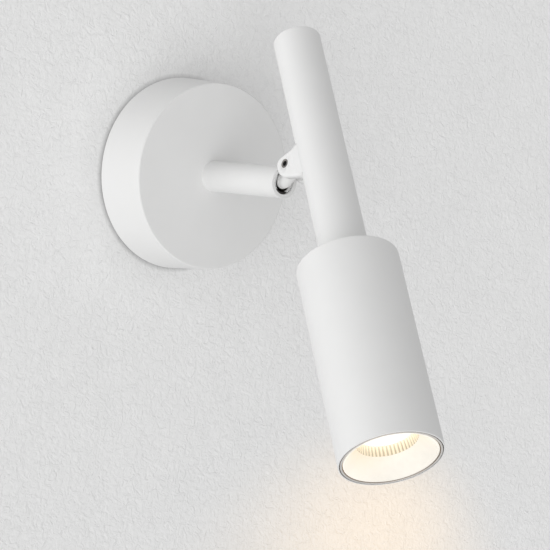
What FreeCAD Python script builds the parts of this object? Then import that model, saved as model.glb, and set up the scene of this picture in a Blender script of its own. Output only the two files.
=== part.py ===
import FreeCAD, Part
import os
from math import cos, pi, radians, sin, sqrt, tan

# Pivoting spotlight wall light: a round canopy, a short arm, a forked knuckle,
# and a slim stem that carries a cylindrical spotlight head.
#
# Frame: millimetres, +Z up. The origin is the centre of the canopy's back face, on the wall.
# The wall is the plane Y = 0 and the light stands out from it towards -Y.
# "out" is a distance from the wall, so out = -Y.

Vector = FreeCAD.Vector

# ---------------------------------------------------------------- driving sizes

# Canopy: a drafted cover cup, open to the wall
CANOPY_BACK_DIAMETER = 100.0
CANOPY_FRONT_DIAMETER = 96.3
CANOPY_DEPTH = 30.0
CANOPY_WALL = 2.0
CANOPY_FACE = 2.5
CANOPY_EDGE_RADIUS = 0.8

# Wall strap: a bent steel bar that the canopy slides over
STRAP_WIDTH = 22.0
STRAP_THICKNESS = 2.0
STRAP_RETURN = 10.0
STRAP_SIDE_GAP = 0.5
STRAP_BEND_RADIUS = 3.0
SLOT_SPACING = 60.0
SLOT_WIDTH = 4.5
SLOT_LENGTH = 14.0

# Grub screws that hold the canopy on the strap
GRUB_DIAMETER = 4.0
GRUB_LENGTH = 6.0
GRUB_SOCKET_WIDTH = 2.0
GRUB_SOCKET_DEPTH = 2.0
GRUB_SINK = 0.2

# Earth screw on the strap
EARTH_SCREW_DIAMETER = 4.0
EARTH_HEAD_DIAMETER = 8.0
EARTH_HEAD_HEIGHT = 2.6
EARTH_SCREW_HEIGHT = 16.0
EARTH_WASHER_DIAMETER = 9.6
EARTH_WASHER_THICKNESS = 0.8

# Driver and terminal block, both on the inside of the canopy's face
DRIVER_LENGTH = 50.0
DRIVER_WIDTH = 22.0
DRIVER_DEPTH = 17.0
DRIVER_OFFSET = 25.5
DRIVER_CORNER_RADIUS = 2.0
TERMINAL_LENGTH = 27.0
TERMINAL_WIDTH = 13.0
TERMINAL_DEPTH = 12.0
TERMINAL_OFFSET = 25.0
TERMINAL_POLES = 3
TERMINAL_HOLE_DIAMETER = 3.2
TERMINAL_STEP = 4.0

# Arm, and the nipple that clamps it to the canopy
ARM_DIAMETER = 16.0
ARM_LENGTH = 57.1
ARM_BORE_DIAMETER = 12.0
ARM_ROOT_LENGTH = 12.0
ARM_EDGE_RADIUS = 0.3
NIPPLE_DIAMETER = 10.0
NIPPLE_BORE_DIAMETER = 7.0
NIPPLE_GRIP = 10.0
NIPPLE_TAIL = 9.0
NIPPLE_WASHER_DIAMETER = 18.0
NIPPLE_WASHER_THICKNESS = 1.0
NIPPLE_NUT_ACROSS_FLATS = 14.0
NIPPLE_NUT_THICKNESS = 5.0
GROMMET_DIAMETER = 9.4
GROMMET_BORE_DIAMETER = 4.6
GROMMET_HEAD = 1.6

# Swivel: a spindle that turns in a bush inside the end of the arm
SPINDLE_DIAMETER = 11.6
SPINDLE_SHANK_DIAMETER = 6.4
SPINDLE_WIRE_BORE = 3.0
SPINDLE_SINK = 1.1
SPINDLE_EDGE_RADIUS = 0.3
POCKET_WIDTH = 8.7
POCKET_FOOT = 4.8
POCKET_FOOT_RADIUS = 4.3
POCKET_HEAD = 3.2
POCKET_DEPTH = 5.6
BUSH_RECESS = 9.6
BUSH_LENGTH = 14.0
FRICTION_WASHER_THICKNESS = 0.8
FRICTION_WASHER_DIAMETER = 11.4
CLIP_THICKNESS = 0.8
CLIP_DIAMETER = 9.4
CLIP_GROOVE_DEPTH = 0.5
CLIP_OPENING = 3.6
CLIP_TAIL = 2.0

# Knuckle: a tongue on the spindle between the two cheeks of a yoke on the stem
TONGUE_THICKNESS = 7.0
TONGUE_EYE_RADIUS = 4.8
TONGUE_NECK_RADIUS = 3.3
TONGUE_TAB_WIDTH = 7.5
TONGUE_TAB_GAP = 1.5
TONGUE_TAB_FOOT_RADIUS = 3.7
TONGUE_TAB_EDGE_RADIUS = 1.6
TONGUE_FOOT_RISE = 0.4
PIVOT_RISE = 7.9
PIVOT_WASHER_THICKNESS = 0.45
PIVOT_WASHER_DIAMETER = 8.0
PIVOT_SHANK_DIAMETER = 3.0
PIVOT_HEAD_DIAMETER = 4.6
PIVOT_HEAD_HEIGHT = 1.8
PIVOT_HEAD_SINK = 0.1
PIVOT_SOCKET_WIDTH = 2.0
PIVOT_SOCKET_DEPTH = 1.3
YOKE_WIDTH = 17.0
YOKE_NOSE = 6.0
YOKE_NOSE_GAP = 0.85
YOKE_TOP = 5.1
YOKE_LOWER_EDGE = 4.5
YOKE_FOOT = 13.8
YOKE_UPPER_RADIUS = 3.9
YOKE_LOWER_RADIUS = 8.0
YOKE_FLARE_WIDTH = 20.6
YOKE_FLARE_RADIUS = 9.0
YOKE_EDGE_RADIUS = 1.5
YOKE_SLOT_CLEARANCE = 0.4
YOKE_SCREW_DIAMETER = 2.5
YOKE_SCREW_HEAD_DIAMETER = 4.4
YOKE_SCREW_HEAD_HEIGHT = 1.5
YOKE_SCREW_SPREAD = 12.6
YOKE_SCREW_DROP = 7.0
YOKE_SCREW_GRIP = 4.6
WIRE_HOLE_DIAMETER = 4.6

# Stem: a closed tube that runs past the knuckle, with the head on its lower end
HEAD_TILT = 35.84
PIVOT_TO_STEM = 18.15
STEM_DIAMETER = 24.0
STEM_WALL = 1.5
STEM_ABOVE_PIVOT = 67.7
STEM_BELOW_PIVOT = 68.5
STEM_EDGE_RADIUS = 0.3
CAP_THICKNESS = 4.0
FOOT_PLUG_LENGTH = 10.0
FOOT_SPIGOT_DIAMETER = 10.0
FOOT_BORE_DIAMETER = 6.0
FOOT_NUT_ACROSS_FLATS = 14.0
FOOT_NUT_THICKNESS = 4.0
FOOT_WASHER_DIAMETER = 20.0
FOOT_WASHER_THICKNESS = 1.0
FOOT_THREAD_TAIL = 1.5

# Head housing
HOUSING_DIAMETER = 50.0
HOUSING_LENGTH = 106.5
HOUSING_WALL = 2.2
HOUSING_TOP = 4.0
HOUSING_EDGE_RADIUS = 0.7
HOUSING_MOUTH_WALL = 0.6
HOUSING_LEDGE = 1.5

# Optics, measured as depths into the mouth
BEZEL_GAP = 0.3
BEZEL_WIDTH = 1.2
BEZEL_DEPTH = 5.0
BEZEL_EDGE_RADIUS = 0.35
BAFFLE_RIM = 0.5
BAFFLE_SINK = 0.3
BAFFLE_DEPTH = 9.0
BAFFLE_THROAT_RADIUS = 14.6
BAFFLE_THICKNESS = 1.3
BAFFLE_FLANGE = 1.0
COLLAR_OUTER_RADIUS = 17.5
COLLAR_FRONT_RADIUS = 14.2
COLLAR_BACK_RADIUS = 13.2
COLLAR_RIB_DEPTH = 5.0
COLLAR_RIBS = 48
COLLAR_FLUTE_DEPTH = 0.55
LENS_RADIUS = 15.4
LENS_THICKNESS = 1.5
MIXER_WALL = 1.9
MIXER_LENGTH = 2.6
LED_BOARD_THICKNESS = 1.6
LED_EMITTER_RADIUS = 6.0
LED_EMITTER_THICKNESS = 0.8
LED_SCREW_DIAMETER = 2.0
LED_SCREW_HEAD_DIAMETER = 3.6
LED_SCREW_HEAD_HEIGHT = 1.2
LED_SCREW_LENGTH = 5.0
LED_SCREW_CIRCLE_RADIUS = 10.6
SINK_BASE = 6.0
SINK_FIN_LENGTH = 46.0
SINK_FIN_THICKNESS = 1.4
SINK_FINS = 16
SINK_CORE_RADIUS = 7.0
SINK_WIRE_HOLE_DIAMETER = 4.0

# Clearances
SLIDE_CLEARANCE = 0.2     # a piece pushed into a housing
FIT_CLEARANCE = 0.05      # a screw, shaft or plug in its own hole

# ---------------------------------------------------------------- places worked out

CANOPY_BACK_RADIUS = CANOPY_BACK_DIAMETER / 2
CANOPY_FRONT_RADIUS = CANOPY_FRONT_DIAMETER / 2
CANOPY_DRAFT = (CANOPY_BACK_RADIUS - CANOPY_FRONT_RADIUS) / CANOPY_DEPTH
CANOPY_INNER_FACE = CANOPY_DEPTH - CANOPY_FACE

ARM_RADIUS = ARM_DIAMETER / 2
ARM_BORE_RADIUS = ARM_BORE_DIAMETER / 2
ARM_END = CANOPY_DEPTH + ARM_LENGTH

BUSH_FRONT = ARM_END - BUSH_RECESS
BUSH_BACK = BUSH_FRONT - BUSH_LENGTH
SPINDLE_SHOULDER = BUSH_FRONT + FRICTION_WASHER_THICKNESS + FIT_CLEARANCE
CLIP_FRONT = BUSH_BACK - FIT_CLEARANCE
CLIP_BACK = CLIP_FRONT - CLIP_THICKNESS
SPINDLE_TAIL = CLIP_BACK - CLIP_TAIL
SPINDLE_FACE = ARM_END - SPINDLE_SINK
POCKET_BOTTOM = SPINDLE_FACE - POCKET_DEPTH
TONGUE_FOOT = Vector(0, -ARM_END, TONGUE_FOOT_RISE)

PIVOT_OUT = ARM_END + YOKE_NOSE + YOKE_NOSE_GAP
PIVOT = Vector(0, -PIVOT_OUT, PIVOT_RISE)

YOKE_GAP = TONGUE_THICKNESS + 2 * (PIVOT_WASHER_THICKNESS + 2 * FIT_CLEARANCE)
YOKE_SLOT_RADIUS = TONGUE_EYE_RADIUS + YOKE_SLOT_CLEARANCE

STEM_RADIUS = STEM_DIAMETER / 2
STEM_BORE_RADIUS = STEM_RADIUS - STEM_WALL
HOUSING_RADIUS = HOUSING_DIAMETER / 2
HOUSING_BORE_RADIUS = HOUSING_RADIUS - HOUSING_WALL
MOUTH_BORE_RADIUS = HOUSING_RADIUS - HOUSING_MOUTH_WALL

BEZEL_OUTER_RADIUS = MOUTH_BORE_RADIUS - BEZEL_GAP
BEZEL_INNER_RADIUS = BEZEL_OUTER_RADIUS - BEZEL_WIDTH
BAFFLE_OUTER_RADIUS = BEZEL_INNER_RADIUS - BEZEL_GAP
BAFFLE_MOUTH_RADIUS = BAFFLE_OUTER_RADIUS - BAFFLE_RIM
BAFFLE_BACK = BAFFLE_SINK + BAFFLE_DEPTH
COLLAR_SHOULDER = BAFFLE_BACK + COLLAR_RIB_DEPTH
LENS_BACK = COLLAR_SHOULDER + LENS_THICKNESS
BOARD_FRONT = LENS_BACK + MIXER_LENGTH
SINK_FRONT = BOARD_FRONT + LED_BOARD_THICKNESS
SINK_BACK = SINK_FRONT + SINK_BASE + SINK_FIN_LENGTH


# ---------------------------------------------------------------- construction helpers

def rounded_wire(corners, place):
    """Close a wire round corners (a, b, radius); place puts (a, b) in space."""
    points = [Vector(a, b, 0) for a, b, _ in corners]
    bends = []
    for index, (_, _, radius) in enumerate(corners):
        here = points[index]
        to_last = (points[index - 1] - here).normalize()
        to_next = (points[(index + 1) % len(points)] - here).normalize()
        if radius <= 0:
            bends.append((here, None, here))
            continue
        half_angle = to_last.getAngle(to_next) / 2
        reach = radius / tan(half_angle)
        inward = (to_last + to_next).normalize()
        middle = here + inward * (radius / sin(half_angle) - radius)
        bends.append((here + to_last * reach, middle, here + to_next * reach))
    edges = []
    for index, (start, middle, end) in enumerate(bends):
        if middle is not None:
            edges.append(Part.Arc(place(start), place(middle), place(end)).toShape())
        following = bends[(index + 1) % len(bends)][0]
        if (following - end).Length > 1e-6:
            edges.append(Part.makeLine(place(end), place(following)))
    return Part.Wire(edges)


def turned_out(corners):
    """Turn a profile of (radius, out, corner radius) about the arm's axis."""
    wire = rounded_wire(corners, lambda p: Vector(p.x, -p.y, 0))
    return Part.Face(wire).revolve(Vector(0, 0, 0), Vector(0, 1, 0), 360)


def turned_up(corners):
    """Turn a profile of (radius, height, corner radius) about the Z axis."""
    wire = rounded_wire(corners, lambda p: Vector(p.x, 0, p.y))
    return Part.Face(wire).revolve(Vector(0, 0, 0), Vector(0, 0, 1), 360)


def sharp(*corners):
    """Give each (a, b) of a profile a sharp corner."""
    return [(a, b, 0) for a, b in corners]


def ring_out(outer_radius, inner_radius, back, front):
    """Make a plain ring on the arm's axis between two distances from the wall."""
    return turned_out(sharp((inner_radius, back), (outer_radius, back),
                            (outer_radius, front), (inner_radius, front)))


def ring_up(outer_radius, inner_radius, low, high):
    """Make a plain ring on the Z axis between two heights."""
    return turned_up(sharp((inner_radius, low), (outer_radius, low),
                           (outer_radius, high), (inner_radius, high)))


def rod(radius, start, end):
    """Make a cylinder from one point to another."""
    along = end - start
    return Part.makeCylinder(radius, along.Length, start, along)


def hex_bar(across_flats, start, end):
    """Make a hexagonal bar from one point to another."""
    along = end - start
    circle_radius = across_flats / sqrt(3)
    corners = [Vector(circle_radius * cos(k * pi / 3), circle_radius * sin(k * pi / 3), 0)
               for k in range(7)]
    bar = Part.Face(Part.makePolygon(corners)).extrude(Vector(0, 0, along.Length))
    turn = FreeCAD.Rotation(Vector(0, 0, 1), along)
    bar.Placement = FreeCAD.Placement(start, turn)
    return bar


def on_stem(shape):
    """Move a piece that was made on the Z axis onto the stem's axis, below the pivot."""
    shape.translate(Vector(0, -PIVOT_TO_STEM, 0))
    return on_head(shape)


def on_head(shape):
    """Put a piece that was made about the pivot, with the stem upright, in its place."""
    turn = FreeCAD.Placement(PIVOT, FreeCAD.Rotation(Vector(1, 0, 0), -HEAD_TILT))
    shape.Placement = turn.multiply(shape.Placement)
    return shape


def mouth_height(depth):
    """Give the height, about the pivot, of a depth into the head's mouth."""
    return depth - STEM_BELOW_PIVOT - HOUSING_LENGTH


# ---------------------------------------------------------------- canopy and wall strap

def canopy_inner_radius(out):
    """Give the canopy's inside radius at a distance from the wall."""
    return CANOPY_BACK_RADIUS - CANOPY_WALL - CANOPY_DRAFT * out


def strap_reach():
    """Give the distance from the arm's axis to the outside of the strap's bent ends."""
    return canopy_inner_radius(STRAP_RETURN) - STRAP_SIDE_GAP


def grub_out():
    """Give the grub screws' distance from the wall, halfway along the straight bent end."""
    return (STRAP_BEND_RADIUS + STRAP_RETURN) / 2


def make_canopy():
    """Drafted cup with a hole for the nipple and one for each grub screw."""
    hole_radius = NIPPLE_DIAMETER / 2 + FIT_CLEARANCE
    cup = turned_out([
        (hole_radius, CANOPY_DEPTH, 0),
        (CANOPY_FRONT_RADIUS, CANOPY_DEPTH, CANOPY_EDGE_RADIUS),
        (CANOPY_BACK_RADIUS, 0, 0),
        (canopy_inner_radius(0), 0, 0),
        (canopy_inner_radius(CANOPY_INNER_FACE), CANOPY_INNER_FACE, CANOPY_EDGE_RADIUS),
        (hole_radius, CANOPY_INNER_FACE, 0),
    ])
    for side in (1, -1):
        start = Vector(0, -grub_out(), side * strap_reach())
        end = Vector(0, -grub_out(), side * (CANOPY_BACK_RADIUS + 1))
        cup = cup.cut(rod(GRUB_DIAMETER / 2 + FIT_CLEARANCE, start, end))
    return cup


def make_wall_strap():
    """Steel bar with two bent ends, two fixing slots and three tapped holes."""
    reach = strap_reach()
    inner = reach - STRAP_THICKNESS
    inner_bend = STRAP_BEND_RADIUS - STRAP_THICKNESS
    section = rounded_wire([
        (-reach, 0, STRAP_BEND_RADIUS), (reach, 0, STRAP_BEND_RADIUS),
        (reach, STRAP_RETURN, 0), (inner, STRAP_RETURN, 0),
        (inner, STRAP_THICKNESS, inner_bend), (-inner, STRAP_THICKNESS, inner_bend),
        (-inner, STRAP_RETURN, 0), (-reach, STRAP_RETURN, 0),
    ], lambda p: Vector(-STRAP_WIDTH / 2, -p.y, p.x))
    bar = Part.Face(section).extrude(Vector(STRAP_WIDTH, 0, 0))
    outline = rod(reach, Vector(0, 1, 0), Vector(0, -STRAP_RETURN - 1, 0))
    bar = bar.common(outline)
    half_straight = (SLOT_LENGTH - SLOT_WIDTH) / 2
    for side in (1, -1):
        centre = Vector(0, 1, side * SLOT_SPACING / 2)
        slot = slot_cutter(centre, half_straight, SLOT_WIDTH / 2, STRAP_THICKNESS + 2)
        bar = bar.cut(slot)
        start = Vector(0, -grub_out(), side * (inner - 1))
        end = Vector(0, -grub_out(), side * (reach + 1))
        bar = bar.cut(rod(GRUB_DIAMETER / 2 + FIT_CLEARANCE, start, end))
    earth = Vector(0, 1, EARTH_SCREW_HEIGHT)
    through = Vector(0, -STRAP_THICKNESS - 1, EARTH_SCREW_HEIGHT)
    return bar.cut(rod(EARTH_SCREW_DIAMETER / 2 + FIT_CLEARANCE, earth, through))


def slot_cutter(centre, half_straight, radius, depth):
    """Make the cutter for a slot that runs along Z and goes through towards -Y."""
    low = rod(radius, centre - Vector(0, 0, half_straight),
              centre - Vector(0, depth, half_straight))
    high = rod(radius, centre + Vector(0, 0, half_straight),
               centre + Vector(0, -depth, half_straight))
    corner = Vector(centre.x - radius, centre.y - depth, centre.z - half_straight)
    middle = Part.makeBox(2 * radius, depth, 2 * half_straight, corner)
    return low.fuse([high, middle]).removeSplitter()


def make_grub_screw(side):
    """Socket grub screw through the canopy's wall and the strap's bent end."""
    head = side * (CANOPY_BACK_RADIUS - CANOPY_DRAFT * grub_out() - GRUB_SINK)
    start = Vector(0, -grub_out(), head)
    inward = Vector(0, 0, -side)
    screw = rod(GRUB_DIAMETER / 2, start, start + inward * GRUB_LENGTH)
    socket = hex_bar(GRUB_SOCKET_WIDTH, start - inward, start + inward * GRUB_SOCKET_DEPTH)
    return screw.cut(socket)


def make_earth_washer():
    """Washer under the earth screw's head."""
    base = Vector(0, -STRAP_THICKNESS, EARTH_SCREW_HEIGHT)
    top = base - Vector(0, EARTH_WASHER_THICKNESS, 0)
    hole = rod(EARTH_SCREW_DIAMETER / 2 + FIT_CLEARANCE, base + Vector(0, 1, 0),
               top - Vector(0, 1, 0))
    return rod(EARTH_WASHER_DIAMETER / 2, base, top).cut(hole)


def make_earth_screw():
    """Pan-head screw for the earth lead."""
    under_head = Vector(0, -STRAP_THICKNESS - EARTH_WASHER_THICKNESS, EARTH_SCREW_HEIGHT)
    top = under_head - Vector(0, EARTH_HEAD_HEIGHT, 0)
    tip = under_head + Vector(0, EARTH_WASHER_THICKNESS + STRAP_THICKNESS - FIT_CLEARANCE, 0)
    head = rod(EARTH_HEAD_DIAMETER / 2, under_head, top)
    shank = rod(EARTH_SCREW_DIAMETER / 2, under_head, tip)
    return head.fuse(shank)


def make_led_driver():
    """Potted driver with rounded corners on the inside of the canopy's face."""
    half_width = DRIVER_WIDTH / 2
    half_length = DRIVER_LENGTH / 2
    corners = [
        (DRIVER_OFFSET - half_width, -half_length, DRIVER_CORNER_RADIUS),
        (DRIVER_OFFSET + half_width, -half_length, DRIVER_CORNER_RADIUS),
        (DRIVER_OFFSET + half_width, half_length, DRIVER_CORNER_RADIUS),
        (DRIVER_OFFSET - half_width, half_length, DRIVER_CORNER_RADIUS),
    ]
    wire = rounded_wire(corners, lambda p: Vector(p.x, -CANOPY_INNER_FACE, p.y))
    return Part.Face(wire).extrude(Vector(0, DRIVER_DEPTH, 0))


def make_terminal_block():
    """Stepped terminal block with a screw hole and a wire hole for each pole."""
    left = -TERMINAL_OFFSET - TERMINAL_WIDTH / 2
    right = left + TERMINAL_WIDTH
    back = CANOPY_INNER_FACE - TERMINAL_DEPTH
    step = TERMINAL_WIDTH / 4
    profile = rounded_wire(sharp(
        (left, CANOPY_INNER_FACE), (right, CANOPY_INNER_FACE),
        (right, back + TERMINAL_STEP), (right - step, back + TERMINAL_STEP), (right - step, back),
        (left + step, back), (left + step, back + TERMINAL_STEP), (left, back + TERMINAL_STEP),
    ), lambda p: Vector(p.x, -p.y, -TERMINAL_LENGTH / 2))
    block = Part.Face(profile).extrude(Vector(0, 0, TERMINAL_LENGTH))
    pitch = TERMINAL_LENGTH / TERMINAL_POLES
    hole_radius = TERMINAL_HOLE_DIAMETER / 2
    wire_out = CANOPY_INNER_FACE - (TERMINAL_DEPTH - TERMINAL_STEP) / 2
    for pole in range(TERMINAL_POLES):
        height = (pole + 0.5) * pitch - TERMINAL_LENGTH / 2
        screw_top = Vector(-TERMINAL_OFFSET, -back + 1, height)
        block = block.cut(rod(hole_radius, screw_top,
                              screw_top - Vector(0, TERMINAL_STEP + 1, 0)))
        entry = Vector(left - 1, -wire_out, height)
        block = block.cut(rod(hole_radius, entry, entry + Vector(TERMINAL_WIDTH + 2, 0, 0)))
    return block


# ---------------------------------------------------------------- arm

def make_nipple():
    """Hollow threaded nipple from inside the canopy into the arm's root."""
    return ring_out(NIPPLE_DIAMETER / 2, NIPPLE_BORE_DIAMETER / 2,
                    CANOPY_INNER_FACE - NIPPLE_TAIL, CANOPY_DEPTH + NIPPLE_GRIP)


def make_nipple_washer():
    """Washer between the nut and the inside of the canopy's face."""
    return ring_out(NIPPLE_WASHER_DIAMETER / 2, NIPPLE_DIAMETER / 2 + FIT_CLEARANCE,
                    CANOPY_INNER_FACE - NIPPLE_WASHER_THICKNESS, CANOPY_INNER_FACE)


def make_nipple_nut():
    """Hexagonal nut on the nipple."""
    front = CANOPY_INNER_FACE - NIPPLE_WASHER_THICKNESS
    back = front - NIPPLE_NUT_THICKNESS
    nut = hex_bar(NIPPLE_NUT_ACROSS_FLATS, Vector(0, -back, 0), Vector(0, -front, 0))
    hole = rod(NIPPLE_DIAMETER / 2 + FIT_CLEARANCE, Vector(0, 1 - back, 0),
               Vector(0, -front - 1, 0))
    return nut.cut(hole)


def make_cable_grommet():
    """Soft bush that guards the wires where they enter the nipple."""
    tail = CANOPY_INNER_FACE - NIPPLE_TAIL
    bore = GROMMET_BORE_DIAMETER / 2
    neck = NIPPLE_BORE_DIAMETER / 2 - FIT_CLEARANCE
    return turned_out([
        (bore, tail - GROMMET_HEAD, 0),
        (GROMMET_DIAMETER / 2, tail - GROMMET_HEAD, GROMMET_HEAD / 2),
        (GROMMET_DIAMETER / 2, tail, 0),
        (neck, tail, 0),
        (neck, tail + 2 * GROMMET_HEAD, 0),
        (bore, tail + 2 * GROMMET_HEAD, 0),
    ])


def make_arm():
    """Round arm with a tapped root and a bore that opens at its free end."""
    root_radius = NIPPLE_DIAMETER / 2 + FIT_CLEARANCE
    root_end = CANOPY_DEPTH + ARM_ROOT_LENGTH
    return turned_out([
        (root_radius, CANOPY_DEPTH, 0),
        (ARM_RADIUS, CANOPY_DEPTH, 0),
        (ARM_RADIUS, ARM_END, ARM_EDGE_RADIUS),
        (ARM_BORE_RADIUS, ARM_END, ARM_EDGE_RADIUS),
        (ARM_BORE_RADIUS, root_end, 0),
        (root_radius, root_end, 0),
    ])


def make_arm_bush():
    """Bearing bush pressed into the arm, some way in from its free end."""
    return ring_out(ARM_BORE_RADIUS - FIT_CLEARANCE, SPINDLE_SHANK_DIAMETER / 2 + FIT_CLEARANCE,
                    BUSH_BACK, BUSH_FRONT)


# ---------------------------------------------------------------- swivel

def upright_block(width, foot, foot_radius, head, back, front):
    """Make a block across the arm's axis, round at its foot and flat at its head."""
    half = width / 2
    wire = rounded_wire([
        (-half, head, 0), (-half, -foot, foot_radius), (half, -foot, foot_radius), (half, head, 0),
    ], lambda p: Vector(p.x, -back, p.y))
    return Part.Face(wire).extrude(Vector(0, back - front, 0))


def spindle_turning():
    """Shank that runs in the bush, with the plug that closes the arm's end."""
    shank = SPINDLE_SHANK_DIAMETER / 2
    groove = shank - CLIP_GROOVE_DEPTH
    body = SPINDLE_DIAMETER / 2
    return turned_out(sharp(
        (0, SPINDLE_TAIL), (shank, SPINDLE_TAIL), (shank, CLIP_BACK - FIT_CLEARANCE),
        (groove, CLIP_BACK - FIT_CLEARANCE), (groove, BUSH_BACK), (shank, BUSH_BACK),
        (shank, SPINDLE_SHOULDER), (body, SPINDLE_SHOULDER),
    ) + [(body, SPINDLE_FACE, SPINDLE_EDGE_RADIUS), (0, SPINDLE_FACE, 0)])


def make_tongue():
    """Upright tab in the plug's pocket, with a round neck that rises to a flat eye."""
    tab = upright_block(TONGUE_TAB_WIDTH, POCKET_FOOT - TONGUE_TAB_GAP, TONGUE_TAB_FOOT_RADIUS,
                        POCKET_HEAD, POCKET_BOTTOM - 1, ARM_END)
    tab = tab.makeFillet(TONGUE_TAB_EDGE_RADIUS, [
        edge for edge in tab.Edges if edge.BoundBox.YMax < 1e-4 - ARM_END])
    half = Vector(TONGUE_THICKNESS / 2, 0, 0)
    eye = rod(TONGUE_EYE_RADIUS, PIVOT - half, PIVOT + half)
    neck = rod(TONGUE_NECK_RADIUS, TONGUE_FOOT, PIVOT)
    elbow = Part.makeSphere(TONGUE_NECK_RADIUS, TONGUE_FOOT)
    return tab.fuse([eye, neck, elbow])


def make_spindle():
    """Spindle with a plug at the arm's end, whose pocket holds the tongue of the knuckle."""
    pocket = upright_block(POCKET_WIDTH, POCKET_FOOT, POCKET_FOOT_RADIUS, POCKET_HEAD,
                           POCKET_BOTTOM, ARM_END)
    spindle = spindle_turning().cut(pocket).fuse(make_tongue()).removeSplitter()
    across = Vector(TONGUE_THICKNESS, 0, 0)
    pin_hole = rod(PIVOT_SHANK_DIAMETER / 2 + FIT_CLEARANCE, PIVOT - across, PIVOT + across)
    return spindle.cut([pin_hole] + spindle_wire_way())


def spindle_wire_way():
    """Cutters for the wires' way along the spindle and out of the tongue's right side."""
    radius = SPINDLE_WIRE_BORE / 2
    turn = Vector(0, TONGUE_FOOT.y, 0)
    along = rod(radius, Vector(0, 1 - SPINDLE_TAIL, 0), turn)
    aside = rod(radius, TONGUE_FOOT, TONGUE_FOOT + Vector(POCKET_WIDTH / 2, 0, 0))
    return [along, aside]


def make_friction_washer():
    """Washer between the spindle's shoulder and the bush."""
    return ring_out(FRICTION_WASHER_DIAMETER / 2, SPINDLE_SHANK_DIAMETER / 2 + FIT_CLEARANCE,
                    BUSH_FRONT, BUSH_FRONT + FRICTION_WASHER_THICKNESS)


def make_spindle_clip():
    """Open retaining ring in the spindle's groove, behind the bush."""
    bore = SPINDLE_SHANK_DIAMETER / 2 - CLIP_GROOVE_DEPTH + FIT_CLEARANCE
    ring = ring_out(CLIP_DIAMETER / 2, bore, CLIP_BACK, CLIP_FRONT)
    corner = Vector(-CLIP_OPENING / 2, -CLIP_FRONT - 1, -CLIP_DIAMETER)
    opening = Part.makeBox(CLIP_OPENING, CLIP_THICKNESS + 2, CLIP_DIAMETER, corner)
    return ring.cut(opening)


# ---------------------------------------------------------------- knuckle on the stem

def yoke_outline():
    """Side outline of the yoke: flat top, round nose and a slanted lower edge."""
    stem_side = sqrt(STEM_RADIUS ** 2 - (YOKE_WIDTH / 2) ** 2) - PIVOT_TO_STEM
    wire = rounded_wire([
        (-PIVOT_TO_STEM, YOKE_TOP, 0),
        (YOKE_NOSE, YOKE_TOP, YOKE_UPPER_RADIUS),
        (YOKE_NOSE, -YOKE_LOWER_EDGE, YOKE_LOWER_RADIUS),
        (stem_side, -YOKE_FOOT, 0),
        (-PIVOT_TO_STEM, -YOKE_FOOT, 0),
    ], lambda p: Vector(-YOKE_FLARE_WIDTH, p.x, p.y))
    return Part.Face(wire).extrude(Vector(2 * YOKE_FLARE_WIDTH, 0, 0))


def yoke_plan():
    """Plan of the yoke: parallel cheeks that flare out into the stem's sides."""
    half = YOKE_WIDTH / 2
    flare = YOKE_FLARE_WIDTH / 2
    stem_side = -PIVOT_TO_STEM + sqrt(STEM_RADIUS ** 2 - flare ** 2)
    flare_start = stem_side + sqrt(max(2 * YOKE_FLARE_RADIUS * (flare - half), 0))
    bend = YOKE_FLARE_RADIUS / 2
    wire = rounded_wire([
        (-flare, -PIVOT_TO_STEM, 0), (-flare, stem_side, 0), (-half, flare_start, bend),
        (-half, YOKE_NOSE + 1, 0), (half, YOKE_NOSE + 1, 0),
        (half, flare_start, bend), (flare, stem_side, 0), (flare, -PIVOT_TO_STEM, 0),
    ], lambda p: Vector(p.x, p.y, -YOKE_FOOT - 1))
    return Part.Face(wire).extrude(Vector(0, 0, YOKE_FOOT + YOKE_TOP + 2))


def yoke_slot():
    """Cutter for the space between the cheeks that the tongue swings through."""
    half_gap = YOKE_GAP / 2
    far = YOKE_NOSE + YOKE_FOOT
    eye = rod(YOKE_SLOT_RADIUS, Vector(-half_gap, 0, 0), Vector(half_gap, 0, 0))
    corner = Vector(-half_gap, -YOKE_SLOT_RADIUS, -far)
    swing = Part.makeBox(YOKE_GAP, YOKE_SLOT_RADIUS + far, far, corner)
    mouth = Part.makeBox(YOKE_GAP, far, YOKE_SLOT_RADIUS, Vector(-half_gap, 0, 0))
    return eye.fuse([swing, mouth])


def yoke_screw_axis(side):
    """Give where a yoke screw crosses the stem's bore, about the pivot."""
    across = YOKE_SCREW_SPREAD / 2
    inside = sqrt(STEM_BORE_RADIUS ** 2 - (across + YOKE_SCREW_HEAD_DIAMETER / 2) ** 2)
    return Vector(side * across, inside - PIVOT_TO_STEM, -YOKE_SCREW_DROP)


def yoke_screw_reach():
    """Give the distance from under a yoke screw's head to its tip."""
    return STEM_WALL + YOKE_SCREW_GRIP


def make_yoke():
    """Forked lug on the side of the stem, with its holes."""
    body = yoke_outline().common(yoke_plan())
    body = body.makeFillet(YOKE_EDGE_RADIUS, cheek_edges(body))
    stem = Part.makeCylinder(STEM_RADIUS + FIT_CLEARANCE / 2, 4 * YOKE_FOOT,
                             Vector(0, -PIVOT_TO_STEM, -2 * YOKE_FOOT))
    across = Vector(YOKE_WIDTH, 0, 0)
    pin_hole = rod(PIVOT_SHANK_DIAMETER / 2 + FIT_CLEARANCE, across * -1, across)
    sunk = PIVOT_HEAD_HEIGHT + PIVOT_HEAD_SINK
    head_hole = rod(PIVOT_HEAD_DIAMETER / 2 + FIT_CLEARANCE, Vector(-YOKE_WIDTH, 0, 0),
                    Vector(sunk - YOKE_WIDTH / 2, 0, 0))
    cuts = [stem, yoke_slot(), pin_hole, head_hole, yoke_wire_hole()]
    for side in (1, -1):
        start = yoke_screw_axis(side)
        reach = Vector(0, yoke_screw_reach() + FIT_CLEARANCE, 0)
        cuts.append(rod(YOKE_SCREW_DIAMETER / 2 + FIT_CLEARANCE, start, start + reach))
    return on_head(body.cut(cuts))


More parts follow.
